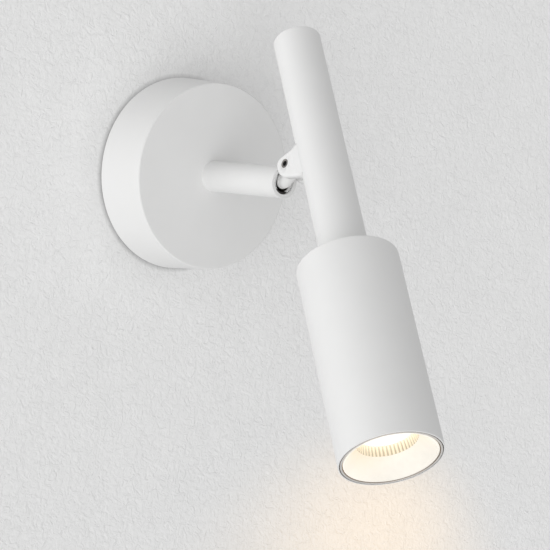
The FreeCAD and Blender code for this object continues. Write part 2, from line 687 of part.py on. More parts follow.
def cheek_edges(body):
    """Pick the outline edges of the two outer cheek faces near the nose."""
    half = YOKE_WIDTH / 2
    picked = []
    for edge in body.Edges:
        box = edge.BoundBox
        on_cheek = abs(abs(box.XMin) - half) < 1e-4 and abs(box.XMax - box.XMin) < 1e-4
        if on_cheek and box.YMax > 0 and box.YMin > -YOKE_FOOT:
            picked.append(edge)
    return picked


def yoke_wire_hole():
    """Cutter for the wires' way from the knuckle into the stem."""
    start = Vector(0, -PIVOT_TO_STEM, -YOKE_SCREW_DROP)
    return rod(WIRE_HOLE_DIAMETER / 2, start, start + Vector(0, PIVOT_TO_STEM, 0))


def make_pivot_screw():
    """Socket-head screw through one cheek and the tongue into the other cheek."""
    half = YOKE_WIDTH / 2
    head_face = PIVOT_HEAD_SINK - half
    under_head = head_face + PIVOT_HEAD_HEIGHT
    head = rod(PIVOT_HEAD_DIAMETER / 2, Vector(head_face, 0, 0), Vector(under_head, 0, 0))
    shank = rod(PIVOT_SHANK_DIAMETER / 2, Vector(under_head, 0, 0),
                Vector(half - PIVOT_HEAD_SINK, 0, 0))
    socket = hex_bar(PIVOT_SOCKET_WIDTH, Vector(head_face - 1, 0, 0),
                     Vector(head_face + PIVOT_SOCKET_DEPTH, 0, 0))
    return on_head(head.fuse(shank).cut(socket))


def make_pivot_washer(side):
    """Thin friction washer between the tongue and one cheek."""
    near = side * (TONGUE_THICKNESS / 2 + FIT_CLEARANCE)
    far = near + side * PIVOT_WASHER_THICKNESS
    disc = rod(PIVOT_WASHER_DIAMETER / 2, Vector(near, 0, 0), Vector(far, 0, 0))
    hole = rod(PIVOT_SHANK_DIAMETER / 2 + FIT_CLEARANCE, Vector(near - side, 0, 0),
               Vector(far + side, 0, 0))
    return on_head(disc.cut(hole))


def make_yoke_screw(side):
    """Screw from inside the stem into one cheek of the yoke."""
    under_head = yoke_screw_axis(side)
    top = under_head - Vector(0, YOKE_SCREW_HEAD_HEIGHT, 0)
    tip = under_head + Vector(0, yoke_screw_reach(), 0)
    head = rod(YOKE_SCREW_HEAD_DIAMETER / 2, under_head, top)
    shank = rod(YOKE_SCREW_DIAMETER / 2, under_head, tip)
    return on_head(head.fuse(shank))


# ---------------------------------------------------------------- stem

def make_stem_tube():
    """Straight tube with holes for the yoke's screws and the wires."""
    low = -STEM_BELOW_PIVOT
    tube = turned_up([
        (STEM_BORE_RADIUS, low, 0), (STEM_RADIUS, low, 0),
        (STEM_RADIUS, STEM_ABOVE_PIVOT, STEM_EDGE_RADIUS),
        (STEM_BORE_RADIUS, STEM_ABOVE_PIVOT, 0),
    ])
    tube.translate(Vector(0, -PIVOT_TO_STEM, 0))
    cuts = [yoke_wire_hole()]
    for side in (1, -1):
        start = yoke_screw_axis(side)
        reach = Vector(0, yoke_screw_reach(), 0)
        cuts.append(rod(YOKE_SCREW_DIAMETER / 2 + FIT_CLEARANCE, start, start + reach))
    return on_head(tube.cut(cuts))


def make_stem_cap():
    """Plug that closes the top of the stem, flush with its end."""
    radius = STEM_BORE_RADIUS - FIT_CLEARANCE
    return on_stem(turned_up([
        (0, STEM_ABOVE_PIVOT - CAP_THICKNESS, 0),
        (radius, STEM_ABOVE_PIVOT - CAP_THICKNESS, STEM_EDGE_RADIUS),
        (radius, STEM_ABOVE_PIVOT, 0),
        (0, STEM_ABOVE_PIVOT, 0),
    ]))


def make_stem_foot():
    """Plug in the stem's lower end with a threaded spigot through the housing's top."""
    seat = -STEM_BELOW_PIVOT
    bore = FOOT_BORE_DIAMETER / 2
    spigot = FOOT_SPIGOT_DIAMETER / 2
    plug = STEM_BORE_RADIUS - FIT_CLEARANCE
    tip = seat - HOUSING_TOP - FOOT_WASHER_THICKNESS - FOOT_NUT_THICKNESS - FOOT_THREAD_TAIL
    return on_stem(turned_up(sharp(
        (bore, tip), (spigot, tip), (spigot, seat), (plug, seat),
        (plug, seat + FOOT_PLUG_LENGTH), (bore, seat + FOOT_PLUG_LENGTH),
    )))


def make_foot_washer():
    """Washer under the housing's top."""
    high = -STEM_BELOW_PIVOT - HOUSING_TOP
    return on_stem(ring_up(FOOT_WASHER_DIAMETER / 2, FOOT_SPIGOT_DIAMETER / 2 + FIT_CLEARANCE,
                           high - FOOT_WASHER_THICKNESS, high))


def make_foot_nut():
    """Nut that clamps the housing to the stem."""
    high = -STEM_BELOW_PIVOT - HOUSING_TOP - FOOT_WASHER_THICKNESS
    low = high - FOOT_NUT_THICKNESS
    nut = hex_bar(FOOT_NUT_ACROSS_FLATS, Vector(0, 0, low), Vector(0, 0, high))
    hole = rod(FOOT_SPIGOT_DIAMETER / 2 + FIT_CLEARANCE, Vector(0, 0, low - 1),
               Vector(0, 0, high + 1))
    return on_stem(nut.cut(hole))


# ---------------------------------------------------------------- head

def make_housing():
    """Cylindrical housing, open at the mouth, with a ledge for the heat sink."""
    top = -STEM_BELOW_PIVOT
    mouth = mouth_height(0)
    step = mouth_height(BEZEL_DEPTH + BAFFLE_FLANGE)
    ledge = mouth_height(SINK_BACK)
    ledge_radius = HOUSING_BORE_RADIUS - HOUSING_LEDGE
    hole = FOOT_SPIGOT_DIAMETER / 2 + FIT_CLEARANCE
    return on_stem(turned_up([
        (MOUTH_BORE_RADIUS, mouth, 0),
        (HOUSING_RADIUS, mouth, HOUSING_MOUTH_WALL / 3),
        (HOUSING_RADIUS, top, HOUSING_EDGE_RADIUS),
        (hole, top, 0),
        (hole, top - HOUSING_TOP, 0),
        (ledge_radius, top - HOUSING_TOP, 0),
        (ledge_radius, ledge, 0),
        (HOUSING_BORE_RADIUS, ledge, 0),
        (HOUSING_BORE_RADIUS, step, 0),
        (MOUTH_BORE_RADIUS, step, 0),
    ]))


def make_bezel_ring():
    """Front ring that clamps the baffle's flange in the mouth."""
    return on_stem(turned_up([
        (BEZEL_INNER_RADIUS, mouth_height(0), BEZEL_EDGE_RADIUS),
        (BEZEL_OUTER_RADIUS, mouth_height(0), BEZEL_EDGE_RADIUS),
        (BEZEL_OUTER_RADIUS, mouth_height(BEZEL_DEPTH), 0),
        (BEZEL_INNER_RADIUS, mouth_height(BEZEL_DEPTH), 0),
    ]))


def baffle_radius(depth):
    """Give the baffle's inside radius at a depth into the mouth."""
    slope = (BAFFLE_MOUTH_RADIUS - BAFFLE_THROAT_RADIUS) / BAFFLE_DEPTH
    return BAFFLE_MOUTH_RADIUS - slope * (depth - BAFFLE_SINK)


def make_baffle_cone():
    """Open cone from the bezel down to the collar, with a clamping flange."""
    slope = (BAFFLE_MOUTH_RADIUS - BAFFLE_THROAT_RADIUS) / BAFFLE_DEPTH
    rim_depth = BAFFLE_SINK + (BAFFLE_THICKNESS - BAFFLE_RIM) / slope
    flange_front = BEZEL_DEPTH
    flange_back = BEZEL_DEPTH + BAFFLE_FLANGE
    flange_radius = MOUTH_BORE_RADIUS - SLIDE_CLEARANCE
    return on_stem(turned_up(sharp(
        (BAFFLE_MOUTH_RADIUS, mouth_height(BAFFLE_SINK)),
        (BAFFLE_OUTER_RADIUS, mouth_height(BAFFLE_SINK)),
        (BAFFLE_OUTER_RADIUS, mouth_height(rim_depth)),
        (baffle_radius(flange_front) + BAFFLE_THICKNESS, mouth_height(flange_front)),
        (flange_radius, mouth_height(flange_front)),
        (flange_radius, mouth_height(flange_back)),
        (baffle_radius(flange_back) + BAFFLE_THICKNESS, mouth_height(flange_back)),
        (BAFFLE_THROAT_RADIUS + BAFFLE_THICKNESS, mouth_height(BAFFLE_BACK)),
        (BAFFLE_THROAT_RADIUS, mouth_height(BAFFLE_BACK)),
    )))


def make_ribbed_collar():
    """Reflector collar with a ring of short ribs and a pocket for the lens behind them."""
    front = mouth_height(BAFFLE_BACK)
    shoulder = mouth_height(COLLAR_SHOULDER)
    back = mouth_height(SINK_FRONT)
    pocket = LENS_RADIUS + FIT_CLEARANCE
    collar = turned_up(sharp(
        (COLLAR_FRONT_RADIUS, front), (COLLAR_OUTER_RADIUS, front),
        (COLLAR_OUTER_RADIUS, back), (pocket, back), (pocket, shoulder),
        (COLLAR_BACK_RADIUS, shoulder),
    ))
    pitch = 2 * pi * COLLAR_BACK_RADIUS / COLLAR_RIBS
    flute_radius = pitch / 3
    sink = flute_radius - COLLAR_FLUTE_DEPTH
    low = Vector(COLLAR_FRONT_RADIUS - sink, 0, front - 1)
    high = Vector(COLLAR_BACK_RADIUS - sink, 0, shoulder + 1)
    flutes = []
    for index in range(COLLAR_RIBS):
        flute = rod(flute_radius, low, high)
        flute.rotate(Vector(0, 0, 0), Vector(0, 0, 1), index * 360.0 / COLLAR_RIBS)
        flutes.append(flute)
    return on_stem(collar.cut(flutes))


def make_lens():
    """Diffusing disc in the collar's pocket."""
    return on_stem(turned_up(sharp(
        (0, mouth_height(COLLAR_SHOULDER)), (LENS_RADIUS, mouth_height(COLLAR_SHOULDER)),
        (LENS_RADIUS, mouth_height(LENS_BACK)), (0, mouth_height(LENS_BACK)),
    )))


def make_mixing_ring():
    """White ring between the lens and the light source's board."""
    return on_stem(ring_up(LENS_RADIUS, LENS_RADIUS - MIXER_WALL,
                           mouth_height(LENS_BACK), mouth_height(BOARD_FRONT)))


def led_screw_point(side, depth):
    """Give a point on the axis of one of the board's screws."""
    return Vector(side * LED_SCREW_CIRCLE_RADIUS, 0, mouth_height(depth))


def make_led_board():
    """Round board with two screw holes and a wire hole."""
    board = turned_up(sharp(
        (0, mouth_height(BOARD_FRONT)), (LENS_RADIUS, mouth_height(BOARD_FRONT)),
        (LENS_RADIUS, mouth_height(SINK_FRONT)), (0, mouth_height(SINK_FRONT)),
    ))
    for side in (1, -1):
        hole = rod(LED_SCREW_DIAMETER / 2 + FIT_CLEARANCE,
                   led_screw_point(side, BOARD_FRONT - 1), led_screw_point(side, SINK_FRONT + 1))
        board = board.cut(hole)
    return on_stem(board.cut(wire_way()))


def wire_way():
    """Cutter for the wires' hole through the board and the heat sink's base."""
    place = Vector(0, LED_SCREW_CIRCLE_RADIUS, mouth_height(BOARD_FRONT - 1))
    return Part.makeCylinder(SINK_WIRE_HOLE_DIAMETER / 2,
                             LED_BOARD_THICKNESS + SINK_BASE + 2, place)


def make_led_emitter():
    """Round light-emitting package on the board."""
    front = BOARD_FRONT - LED_EMITTER_THICKNESS
    return on_stem(turned_up(sharp(
        (0, mouth_height(front)), (LED_EMITTER_RADIUS, mouth_height(front)),
        (LED_EMITTER_RADIUS, mouth_height(BOARD_FRONT)), (0, mouth_height(BOARD_FRONT)),
    )))


def make_led_screw(side):
    """Screw through the board into the heat sink."""
    top = BOARD_FRONT - LED_SCREW_HEAD_HEIGHT
    head = rod(LED_SCREW_HEAD_DIAMETER / 2, led_screw_point(side, top),
               led_screw_point(side, BOARD_FRONT))
    shank = rod(LED_SCREW_DIAMETER / 2, led_screw_point(side, BOARD_FRONT),
                led_screw_point(side, BOARD_FRONT + LED_SCREW_LENGTH))
    return on_stem(head.fuse(shank))


def make_heat_sink():
    """Finned heat sink: a base disc, a core and straight fins out to the bore."""
    radius = HOUSING_BORE_RADIUS - SLIDE_CLEARANCE
    front = mouth_height(SINK_FRONT)
    base_back = front + SINK_BASE
    back = mouth_height(SINK_BACK)
    base = Part.makeCylinder(radius, SINK_BASE, Vector(0, 0, front))
    core = Part.makeCylinder(SINK_CORE_RADIUS, SINK_FIN_LENGTH, Vector(0, 0, base_back))
    envelope = Part.makeCylinder(radius, back - front, Vector(0, 0, front))
    fins = []
    for index in range(SINK_FINS):
        corner = Vector(0, -SINK_FIN_THICKNESS / 2, base_back)
        fin = Part.makeBox(radius + 1, SINK_FIN_THICKNESS, SINK_FIN_LENGTH, corner)
        fin.rotate(Vector(0, 0, 0), Vector(0, 0, 1), (index + 0.5) * 360.0 / SINK_FINS)
        fins.append(fin)
    sink = base.fuse([core] + fins).common(envelope)
    cuts = [wire_way()]
    for side in (1, -1):
        cuts.append(rod(LED_SCREW_DIAMETER / 2 + FIT_CLEARANCE,
                        led_screw_point(side, SINK_FRONT - 1),
                        led_screw_point(side, BOARD_FRONT + LED_SCREW_LENGTH + FIT_CLEARANCE)))
    return on_stem(sink.cut(cuts).removeSplitter())


# ---------------------------------------------------------------- output

def build():
    """Make every sub-part, keyed by its node name."""
    return {
        "wall_strap": make_wall_strap(),
        "earth_washer": make_earth_washer(),
        "earth_screw": make_earth_screw(),
        "canopy": make_canopy(),
        "canopy_screw_top": make_grub_screw(1),
        "canopy_screw_bottom": make_grub_screw(-1),
        "led_driver": make_led_driver(),
        "terminal_block": make_terminal_block(),
        "nipple": make_nipple(),
        "nipple_washer": make_nipple_washer(),
        "nipple_nut": make_nipple_nut(),
        "cable_grommet": make_cable_grommet(),
        "arm": make_arm(),
        "arm_bush": make_arm_bush(),
        "spindle": make_spindle(),
        "friction_washer": make_friction_washer(),
        "spindle_clip": make_spindle_clip(),
        "yoke": make_yoke(),
        "pivot_screw": make_pivot_screw(),
        "pivot_washer_left": make_pivot_washer(-1),
        "pivot_washer_right": make_pivot_washer(1),
        "yoke_screw_left": make_yoke_screw(-1),
        "yoke_screw_right": make_yoke_screw(1),
        "stem_tube": make_stem_tube(),
        "stem_cap": make_stem_cap(),
        "stem_foot": make_stem_foot(),
        "foot_washer": make_foot_washer(),
        "foot_nut": make_foot_nut(),
        "housing": make_housing(),
        "bezel_ring": make_bezel_ring(),
        "baffle_cone": make_baffle_cone(),
        "ribbed_collar": make_ribbed_collar(),
        "lens": make_lens(),
        "mixing_ring": make_mixing_ring(),
        "led_board": make_led_board(),
        "led_emitter": make_led_emitter(),
        "led_screw_left": make_led_screw(-1),
        "led_screw_right": make_led_screw(1),
        "heat_sink": make_heat_sink(),
    }


os.makedirs("parts", exist_ok=True)
for name, shape in build().items():
    shape.exportStep(os.path.join("parts", name + ".step"))
    print(name, "solids", len(shape.Solids), "volume", round(shape.Volume, 1))
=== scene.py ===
import logging
from dataclasses import dataclass, field
from enum import Enum
from math import cos, pi, radians, sin

import bmesh
import bpy
from mathutils import Matrix, Vector


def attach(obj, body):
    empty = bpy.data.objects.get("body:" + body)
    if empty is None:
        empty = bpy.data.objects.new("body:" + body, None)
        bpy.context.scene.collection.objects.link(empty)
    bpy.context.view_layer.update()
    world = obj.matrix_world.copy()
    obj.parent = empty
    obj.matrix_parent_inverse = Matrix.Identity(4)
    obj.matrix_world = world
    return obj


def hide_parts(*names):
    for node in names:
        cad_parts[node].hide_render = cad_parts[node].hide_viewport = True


# Looks of a pivoting spotlight wall light: a white canopy, a short arm, a forked knuckle,
# and a slim stem that carries a cylindrical head with a lit mouth.
# Sizes are in millimetres and become metres where they are used. Those of the stage, the
# lamps, the camera's near limit and the welding distances are in metres.

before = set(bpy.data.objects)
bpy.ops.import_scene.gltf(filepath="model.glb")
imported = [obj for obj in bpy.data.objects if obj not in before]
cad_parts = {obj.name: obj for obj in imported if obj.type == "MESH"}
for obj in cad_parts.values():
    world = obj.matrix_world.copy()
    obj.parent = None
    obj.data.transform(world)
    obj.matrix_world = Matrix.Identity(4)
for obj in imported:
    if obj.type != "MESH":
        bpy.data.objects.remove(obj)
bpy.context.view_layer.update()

Tone = tuple[float, float, float]
Place = tuple[float, float, float]
Span = tuple[float, float]

MM = 0.001
LOG = logging.getLogger("wall_light")


# ---------------------------------------------------------------- shader graph

# The Mix node has sockets of the same name for numbers and for colours, so its colour
# sockets go by number.
MIX_FIRST = 6
MIX_SECOND = 7
MIX_RESULT = 2


@dataclass(frozen=True)
class Wire:
    """A node's output, on which Python's operators build Math nodes."""

    graph: "Graph"
    socket: bpy.types.NodeSocket

    def __add__(self, other: "Wire | float") -> "Wire":
        """Add two values."""
        return self.graph.math("ADD", self, other)

    def __radd__(self, other: float) -> "Wire":
        """Add to a plain number."""
        return self.graph.math("ADD", other, self)

    def __sub__(self, other: "Wire | float") -> "Wire":
        """Subtract a value."""
        return self.graph.math("SUBTRACT", self, other)

    def __rsub__(self, other: float) -> "Wire":
        """Subtract from a plain number."""
        return self.graph.math("SUBTRACT", other, self)

    def __mul__(self, other: "Wire | float") -> "Wire":
        """Multiply two values."""
        return self.graph.math("MULTIPLY", self, other)

    def __rmul__(self, other: float) -> "Wire":
        """Multiply a plain number."""
        return self.graph.math("MULTIPLY", other, self)

    def __pow__(self, other: float) -> "Wire":
        """Raise to a power."""
        return self.graph.math("POWER", self, other)


class Graph:
    """The node tree of one material or of the world."""

    def __init__(self, tree: bpy.types.NodeTree) -> None:
        """Start with an empty tree."""
        self.tree = tree
        self.tree.nodes.clear()

    def node(self, kind: str, settings: dict | None = None,
             inputs: dict | None = None, output: int | str = 0) -> Wire:
        """Add any node.

        Args:
            kind: the node's type name.
            settings: properties to set first; "stops" fills a colour ramp.
            inputs: values or wires by socket name or number.
            output: name or number of the output to return.

        Returns:
            The chosen output.
        """
        made = self.tree.nodes.new(kind)
        for name, value in (settings or {}).items():
            if name == "stops":
                self._fill_ramp(made.color_ramp, value)
            else:
                setattr(made, name, value)
        for name, value in (inputs or {}).items():
            if isinstance(value, Wire):
                self.tree.links.new(value.socket, made.inputs[name])
            else:
                made.inputs[name].default_value = value
        return Wire(self, made.outputs[output] if made.outputs else None)

    @staticmethod
    def _fill_ramp(ramp: bpy.types.ColorRamp, stops: list) -> None:
        """Give a colour ramp its stops.

        Args:
            ramp: the ramp.
            stops: pairs of position and colour.
        """
        while len(ramp.elements) < len(stops):
            ramp.elements.new(1.0)
        for element, (position, colour) in zip(ramp.elements, stops):
            element.position = position
            element.color = (*colour, 1.0)

    def math(self, operation: str, *values: Wire | float) -> Wire:
        """Add a Math node for one or two values."""
        return self.node("ShaderNodeMath", {"operation": operation}, dict(enumerate(values)))

    def ramp(self, value: Wire, stops: list) -> Wire:
        """Turn a value into a colour through a ramp of (position, colour) stops."""
        return self.node("ShaderNodeValToRGB", {"stops": stops}, {"Fac": value})

    def span(self, value: Wire, low: float, high: float, start: float, end: float) -> Wire:
        """Map a value from one span to another, held at both ends."""
        return self.node("ShaderNodeMapRange", {"clamp": True}, {
            "Value": value, "From Min": low, "From Max": high, "To Min": start, "To Max": end})

    def blend(self, share: Wire, first: Tone | Wire, second: Tone | Wire) -> Wire:
        """Mix two colours.

        Args:
            share: how much of the second colour there is.
            first: the first colour.
            second: the second colour.

        Returns:
            The mixed colour.
        """
        first, second = (colour if isinstance(colour, Wire) else (*colour, 1.0)
                         for colour in (first, second))
        return self.node("ShaderNodeMix", {"data_type": "RGBA"}, {
            "Factor": share, MIX_FIRST: first, MIX_SECOND: second}, MIX_RESULT)

    def clouded(self, cloud: Wire, first: Tone, second: Tone,
                middle: Span = (0.35, 0.65)) -> Wire:
        """Mix two tones by the middle of a noise."""
        return self.blend(self.span(cloud, *middle, 0, 1), first, second)

    def vary(self, grain: Wire, values: Span, middle: Span = (0.3, 0.7)) -> Wire:
        """Spread the middle of a noise over a span of values."""
        return self.span(grain, *middle, *values)

    def satin(self, grain: Wire, roughness: Span, relief_mm: float, relief: float) -> dict:
        """Give a roughness and a normal that follow one grain."""
        return {"Roughness": self.vary(grain, roughness),
                "Normal": self.bump(grain, relief_mm, relief)}

    def place(self) -> Wire:
        """Give the point in object space."""
        return self.node("ShaderNodeTexCoord", output="Object")

    def mapped(self, location: Vector, turn: float, scale: Place = (1, 1, 1)) -> Wire:
        """Give the point in a frame that is moved and then turned about X."""
        return self.node("ShaderNodeMapping", {"vector_type": "TEXTURE"}, {
            "Vector": self.place(), "Location": location, "Rotation": (turn, 0, 0),
            "Scale": scale})

    def noise(self, where: Wire, size_mm: float, detail: float = 2.0,
              roughness: float = 0.5, distortion: float = 0.0) -> Wire:
        """Add a noise whose grain has a real size."""
        return self.node("ShaderNodeTexNoise", None, {
            "Vector": where, "Scale": 1.0 / (size_mm * MM), "Detail": detail,
            "Roughness": roughness, "Distortion": distortion})

    def bump(self, height: Wire, distance_mm: float, strength: float) -> Wire:
        """Turn a height into a normal."""
        return self.node("ShaderNodeBump", None, {
            "Height": height, "Distance": distance_mm * MM, "Strength": strength})

    def axes(self, where: Wire) -> tuple[Wire, Wire, Wire]:
        """Split a vector into its three numbers."""
        outputs = self.node("ShaderNodeSeparateXYZ", None, {"Vector": where}).socket.node.outputs
        return tuple(Wire(self, outputs[name]) for name in ("X", "Y", "Z"))

    def radius(self, first: Wire, second: Wire) -> Wire:
        """Give the distance from an axis for two coordinates."""
        return (first * first + second * second) ** 0.5


def surface(name: str, paint: "Finish", clear_back: bool = False) -> bpy.types.Material:
    """Make a material from a finish.

    Args:
        name: the material's name.
        paint: the finish that wires it.
        clear_back: whether the faces show only from their front.

    Returns:
        The material.
    """
    material = bpy.data.materials.new(name)
    material.use_nodes = True
    graph = Graph(material.node_tree)
    shader = graph.node("ShaderNodeBsdfPrincipled", None, paint.sockets(graph), "BSDF")
    if clear_back:
        behind = graph.node("ShaderNodeNewGeometry", output="Backfacing")
        clear = graph.node("ShaderNodeBsdfTransparent")
        shader = graph.node("ShaderNodeMixShader", None, {0: behind, 1: shader, 2: clear})
    graph.node("ShaderNodeOutputMaterial", None, {"Surface": shader})
    return material


# ---------------------------------------------------------------- shared places and sizes

@dataclass(frozen=True)
class HeadFrame:
    """Where the stem and head stand: the pivot, the lean, the stem's offset, the head's ends."""

    pivot_out: float = 93.95
    pivot_rise: float = 7.9
    lean: float = 35.84
    stem_offset: float = 18.15
    head_drop: float = 68.5
    head_length: float = 106.5

    def pivot(self) -> Vector:
        """Give the pivot in metres."""
        return Vector((0, -self.pivot_out, self.pivot_rise)) * MM

    def about_pivot(self) -> Matrix:
        """Give the matrix from the upright knuckle to its place."""
        return Matrix.Translation(self.pivot()) @ Matrix.Rotation(radians(-self.lean), 4, "X")

    def on_stem(self) -> Matrix:
        """Give the matrix from the upright stem's axis to its place."""
        return self.about_pivot() @ Matrix.Translation((0, -self.stem_offset * MM, 0))

    def stem_origin(self) -> Vector:
        """Give the point of the stem's axis that is level with the pivot."""
        return self.on_stem().translation

    def down(self) -> Vector:
        """Give the direction in which the light leaves the head."""
        return (self.on_stem().to_3x3() @ Vector((0, 0, -1))).normalized()

    def level(self, depth: float) -> float:
        """Give the height along the stem's axis of a depth into the mouth."""
        return -self.head_drop - self.head_length + depth


@dataclass(frozen=True)
class MouthSizes:
    """Radii and depths that the mouth's pieces share with their finishes."""

    bezel_inner: float = 22.9
    bezel_outer: float = 24.1
    cone_front: float = 0.3
    cone_back: float = 9.3
    lens_front: float = 14.3


HEAD = HeadFrame()
MOUTH = MouthSizes()
CANOPY_RADIUS = 50.0
TO_ROOM = Matrix.Rotation(radians(90), 4, "X")


def stem_place(graph: Graph) -> Wire:
    """Give the point in the frame of the upright stem."""
    return graph.mapped(HEAD.stem_origin(), radians(-HEAD.lean))


def darker(tone: Tone, share: float) -> Tone:
    """Give a tone with only a share of its light."""
    return tuple(channel * share for channel in tone)


# ---------------------------------------------------------------- finishes

class Axis(Enum):
    """The line that a turned finish runs round."""

    ARM = "arm"
    STEM = "stem"


@dataclass(frozen=True)
class Finish:
    """Base of every finish."""

    def sockets(self, graph: Graph) -> dict:
        """Give the shader's inputs."""
        return {}


@dataclass(frozen=True)
class PowderCoat(Finish):
    """Fine matt powder coat with a faint orange peel and a barely uneven tone."""

    tone: Tone = (0.835, 0.835, 0.83)
    shade: Tone = (0.825, 0.825, 0.82)
    cloud_mm: float = 14.0
    grain_mm: float = 0.55
    peel_mm: float = 1.7
    peel_share: float = 0.4
    relief_mm: float = 0.02
    relief: float = 0.45
    roughness: Span = (0.47, 0.59)
    specular: float = 0.42

    def sockets(self, graph: Graph) -> dict:
        """Wire the coat.

        Args:
            graph: the material's node tree.

        Returns:
            The shader's inputs.
        """
        where = graph.place()
        cloud = graph.noise(where, self.cloud_mm, detail=3.0)
        speck = graph.noise(where, self.grain_mm, roughness=0.6)
        peel = graph.noise(where, self.peel_mm, detail=1.0)
        height = speck * (1 - self.peel_share) + peel * self.peel_share
        return {
            "Base Color": graph.clouded(cloud, self.tone, self.shade),
            "Roughness": graph.vary(speck, self.roughness),
            "Normal": graph.bump(height, self.relief_mm, self.relief),
            "Specular IOR Level": self.specular,
        }


@dataclass(frozen=True)
class TurnedMetal(Finish):
    """Metal turned on a lathe: fine rings round an axis and a little staining."""

    tone: Tone = (0.66, 0.66, 0.67)
    axis: Axis = Axis.ARM
    ring_mm: float = 0.25
    stain_mm: float = 3.5
    stain_middle: Span = (0.35, 0.7)
    stain_share: float = 0.86
    relief_mm: float = 0.006
    relief: float = 0.6
    roughness: Span = (0.24, 0.42)

    def sockets(self, graph: Graph) -> dict:
        """Wire the metal.

        Args:
            graph: the material's node tree.

        Returns:
            The shader's inputs.
        """
        if self.axis is Axis.STEM:
            where = stem_place(graph)
            across, aside, along = graph.axes(where)
        else:
            where = graph.place()
            across, along, aside = graph.axes(where)
        reach = graph.radius(across, aside)
        rings = graph.node("ShaderNodeCombineXYZ", None, {"X": reach, "Y": along})
        lines = graph.noise(rings, self.ring_mm, roughness=0.7)
        stain = graph.noise(where, self.stain_mm, detail=3.0)
        return {
            "Base Color": graph.clouded(stain, self.tone, darker(self.tone, self.stain_share),
                                        self.stain_middle),
            "Metallic": 1.0,
            **graph.satin(lines, self.roughness, self.relief_mm, self.relief),
        }


@dataclass(frozen=True)
class RingMetal(TurnedMetal):
    """Turned ring with painted shade along its two edges, standing for the shade in the gaps
    beside it.
    """

    axis: Axis = Axis.STEM
    gap_shade_mm: float = 0.28
    gap_shade_blur: float = 0.6
    gap_shade_tone: Tone = (0.40, 0.35, 0.31)

    def sockets(self, graph: Graph) -> dict:
        """Wire the ring.

        Args:
            graph: the material's node tree.

        Returns:
            The shader's inputs.
        """
        sockets = super().sockets(graph)
        across, aside, _ = graph.axes(stem_place(graph))
        middle = (MOUTH.bezel_inner + MOUTH.bezel_outer) / 2 * MM
        half = (MOUTH.bezel_outer - MOUTH.bezel_inner) / 2 * MM
        off = graph.math("ABSOLUTE", graph.radius(across, aside) - middle)
        # Painted shade: the ring's two edges are darkened for the shade in the gaps beside it.
        width = self.gap_shade_mm * MM
        edge = graph.span(off, half - width, half - width * (1 - self.gap_shade_blur), 0, 1)
        sockets["Base Color"] = graph.blend(edge, sockets["Base Color"], self.gap_shade_tone)
        return sockets


@dataclass(frozen=True)
class PlatedSteel(Finish):
    """Zinc plate with a soft blotchy sheen and light scuffs."""

    tone: Tone = (0.62, 0.63, 0.65)
    fading: Tone = (0.95, 0.9, 0.8)
    blotch_mm: float = 4.0
    blotch_middle: Span = (0.4, 0.7)
    scuff_mm: float = 0.4
    scuff_turn: float = 0.6
    scuff_stretch: float = 9.0
    scuff_share: float = 0.4
    relief_mm: float = 0.008
    relief: float = 0.4
    roughness: Span = (0.28, 0.50)
    sheen_middle: Span = (0.35, 0.65)

    def sockets(self, graph: Graph) -> dict:
        """Wire the plate.

        Args:
            graph: the material's node tree.

        Returns:
            The shader's inputs.
        """
        blotch = graph.noise(graph.place(), self.blotch_mm, detail=4.0, roughness=0.6)
        along = graph.mapped(Vector((0, 0, 0)), self.scuff_turn, (1, self.scuff_stretch, 1))
        scuff = graph.noise(along, self.scuff_mm)
        faded = tuple(channel * share for channel, share in zip(self.tone, self.fading))
        sheen = blotch * (1 - self.scuff_share) + scuff * self.scuff_share
        return {
            "Base Color": graph.clouded(blotch, self.tone, faded, self.blotch_middle),
            "Metallic": 1.0,
            "Roughness": graph.vary(sheen, self.roughness, self.sheen_middle),
            "Normal": graph.bump(scuff, self.relief_mm, self.relief),
        }


@dataclass(frozen=True)
class SocketSteel(PlatedSteel):
    """Dark screw with painted shade: its socket is painted nearly black for the shade in its
    recess.
    """

    tone: Tone = (0.20, 0.195, 0.19)
    socket_mm: float = 1.3
    socket_blur: float = 0.1
    socket_shade_tone: Tone = (0.015, 0.015, 0.015)

    def sockets(self, graph: Graph) -> dict:
        """Wire the screw.

        Args:
            graph: the material's node tree.

        Returns:
            The shader's inputs.
        """
        sockets = super().sockets(graph)
        pivot = HEAD.pivot()
        _, aside, height = graph.axes(graph.place())
        reach = graph.radius(aside - pivot.y, height - pivot.z)
        # Painted shade: inside this radius round the pivot the screw is painted nearly black, for
        # its shadowed socket.
        edge = self.socket_mm * MM
        inside = graph.span(reach, edge * (1 - self.socket_blur), edge * (1 + self.socket_blur),
                            1, 0)
        sockets["Base Color"] = graph.blend(inside, sockets["Base Color"], self.socket_shade_tone)
        return sockets


@dataclass(frozen=True)
class PocketCoat(PowderCoat):
    """Powder coat with painted shade: the spindle's pocket and a crescent of its face below go
    nearly black, for the shadow in the arm's bore.
    """

    face_mm: float = 86.0
    inside_mm: float = 0.3
    crescent_mm: float = 3.9
    pocket_shade_tone: Tone = (0.04, 0.036, 0.034)

    def sockets(self, graph: Graph) -> dict:
        """Wire the coat.

        Args:
            graph: the material's node tree.

        Returns:
            The shader's inputs.
        """
        sockets = super().sockets(graph)
        _, along, height = graph.axes(graph.place())
        # Painted shade: the pocket's inside and the crescent under it on the face are painted
        # nearly black.
        inside = graph.span(along, -(self.face_mm - self.inside_mm) * MM,
                            -(self.face_mm - 2 * self.inside_mm) * MM, 0, 1)
        level = graph.span(along, -(self.face_mm + 2 * self.inside_mm) * MM,
                           -(self.face_mm + self.inside_mm) * MM, 0, 1)
        below = graph.span(height, -(self.crescent_mm + self.inside_mm) * MM,
                           -self.crescent_mm * MM, 1, 0)
        pocket_shade = graph.math("MAXIMUM", inside, level * below)
        sockets["Base Color"] = graph.blend(pocket_shade, sockets["Base Color"], self.pocket_shade_tone)
        return sockets


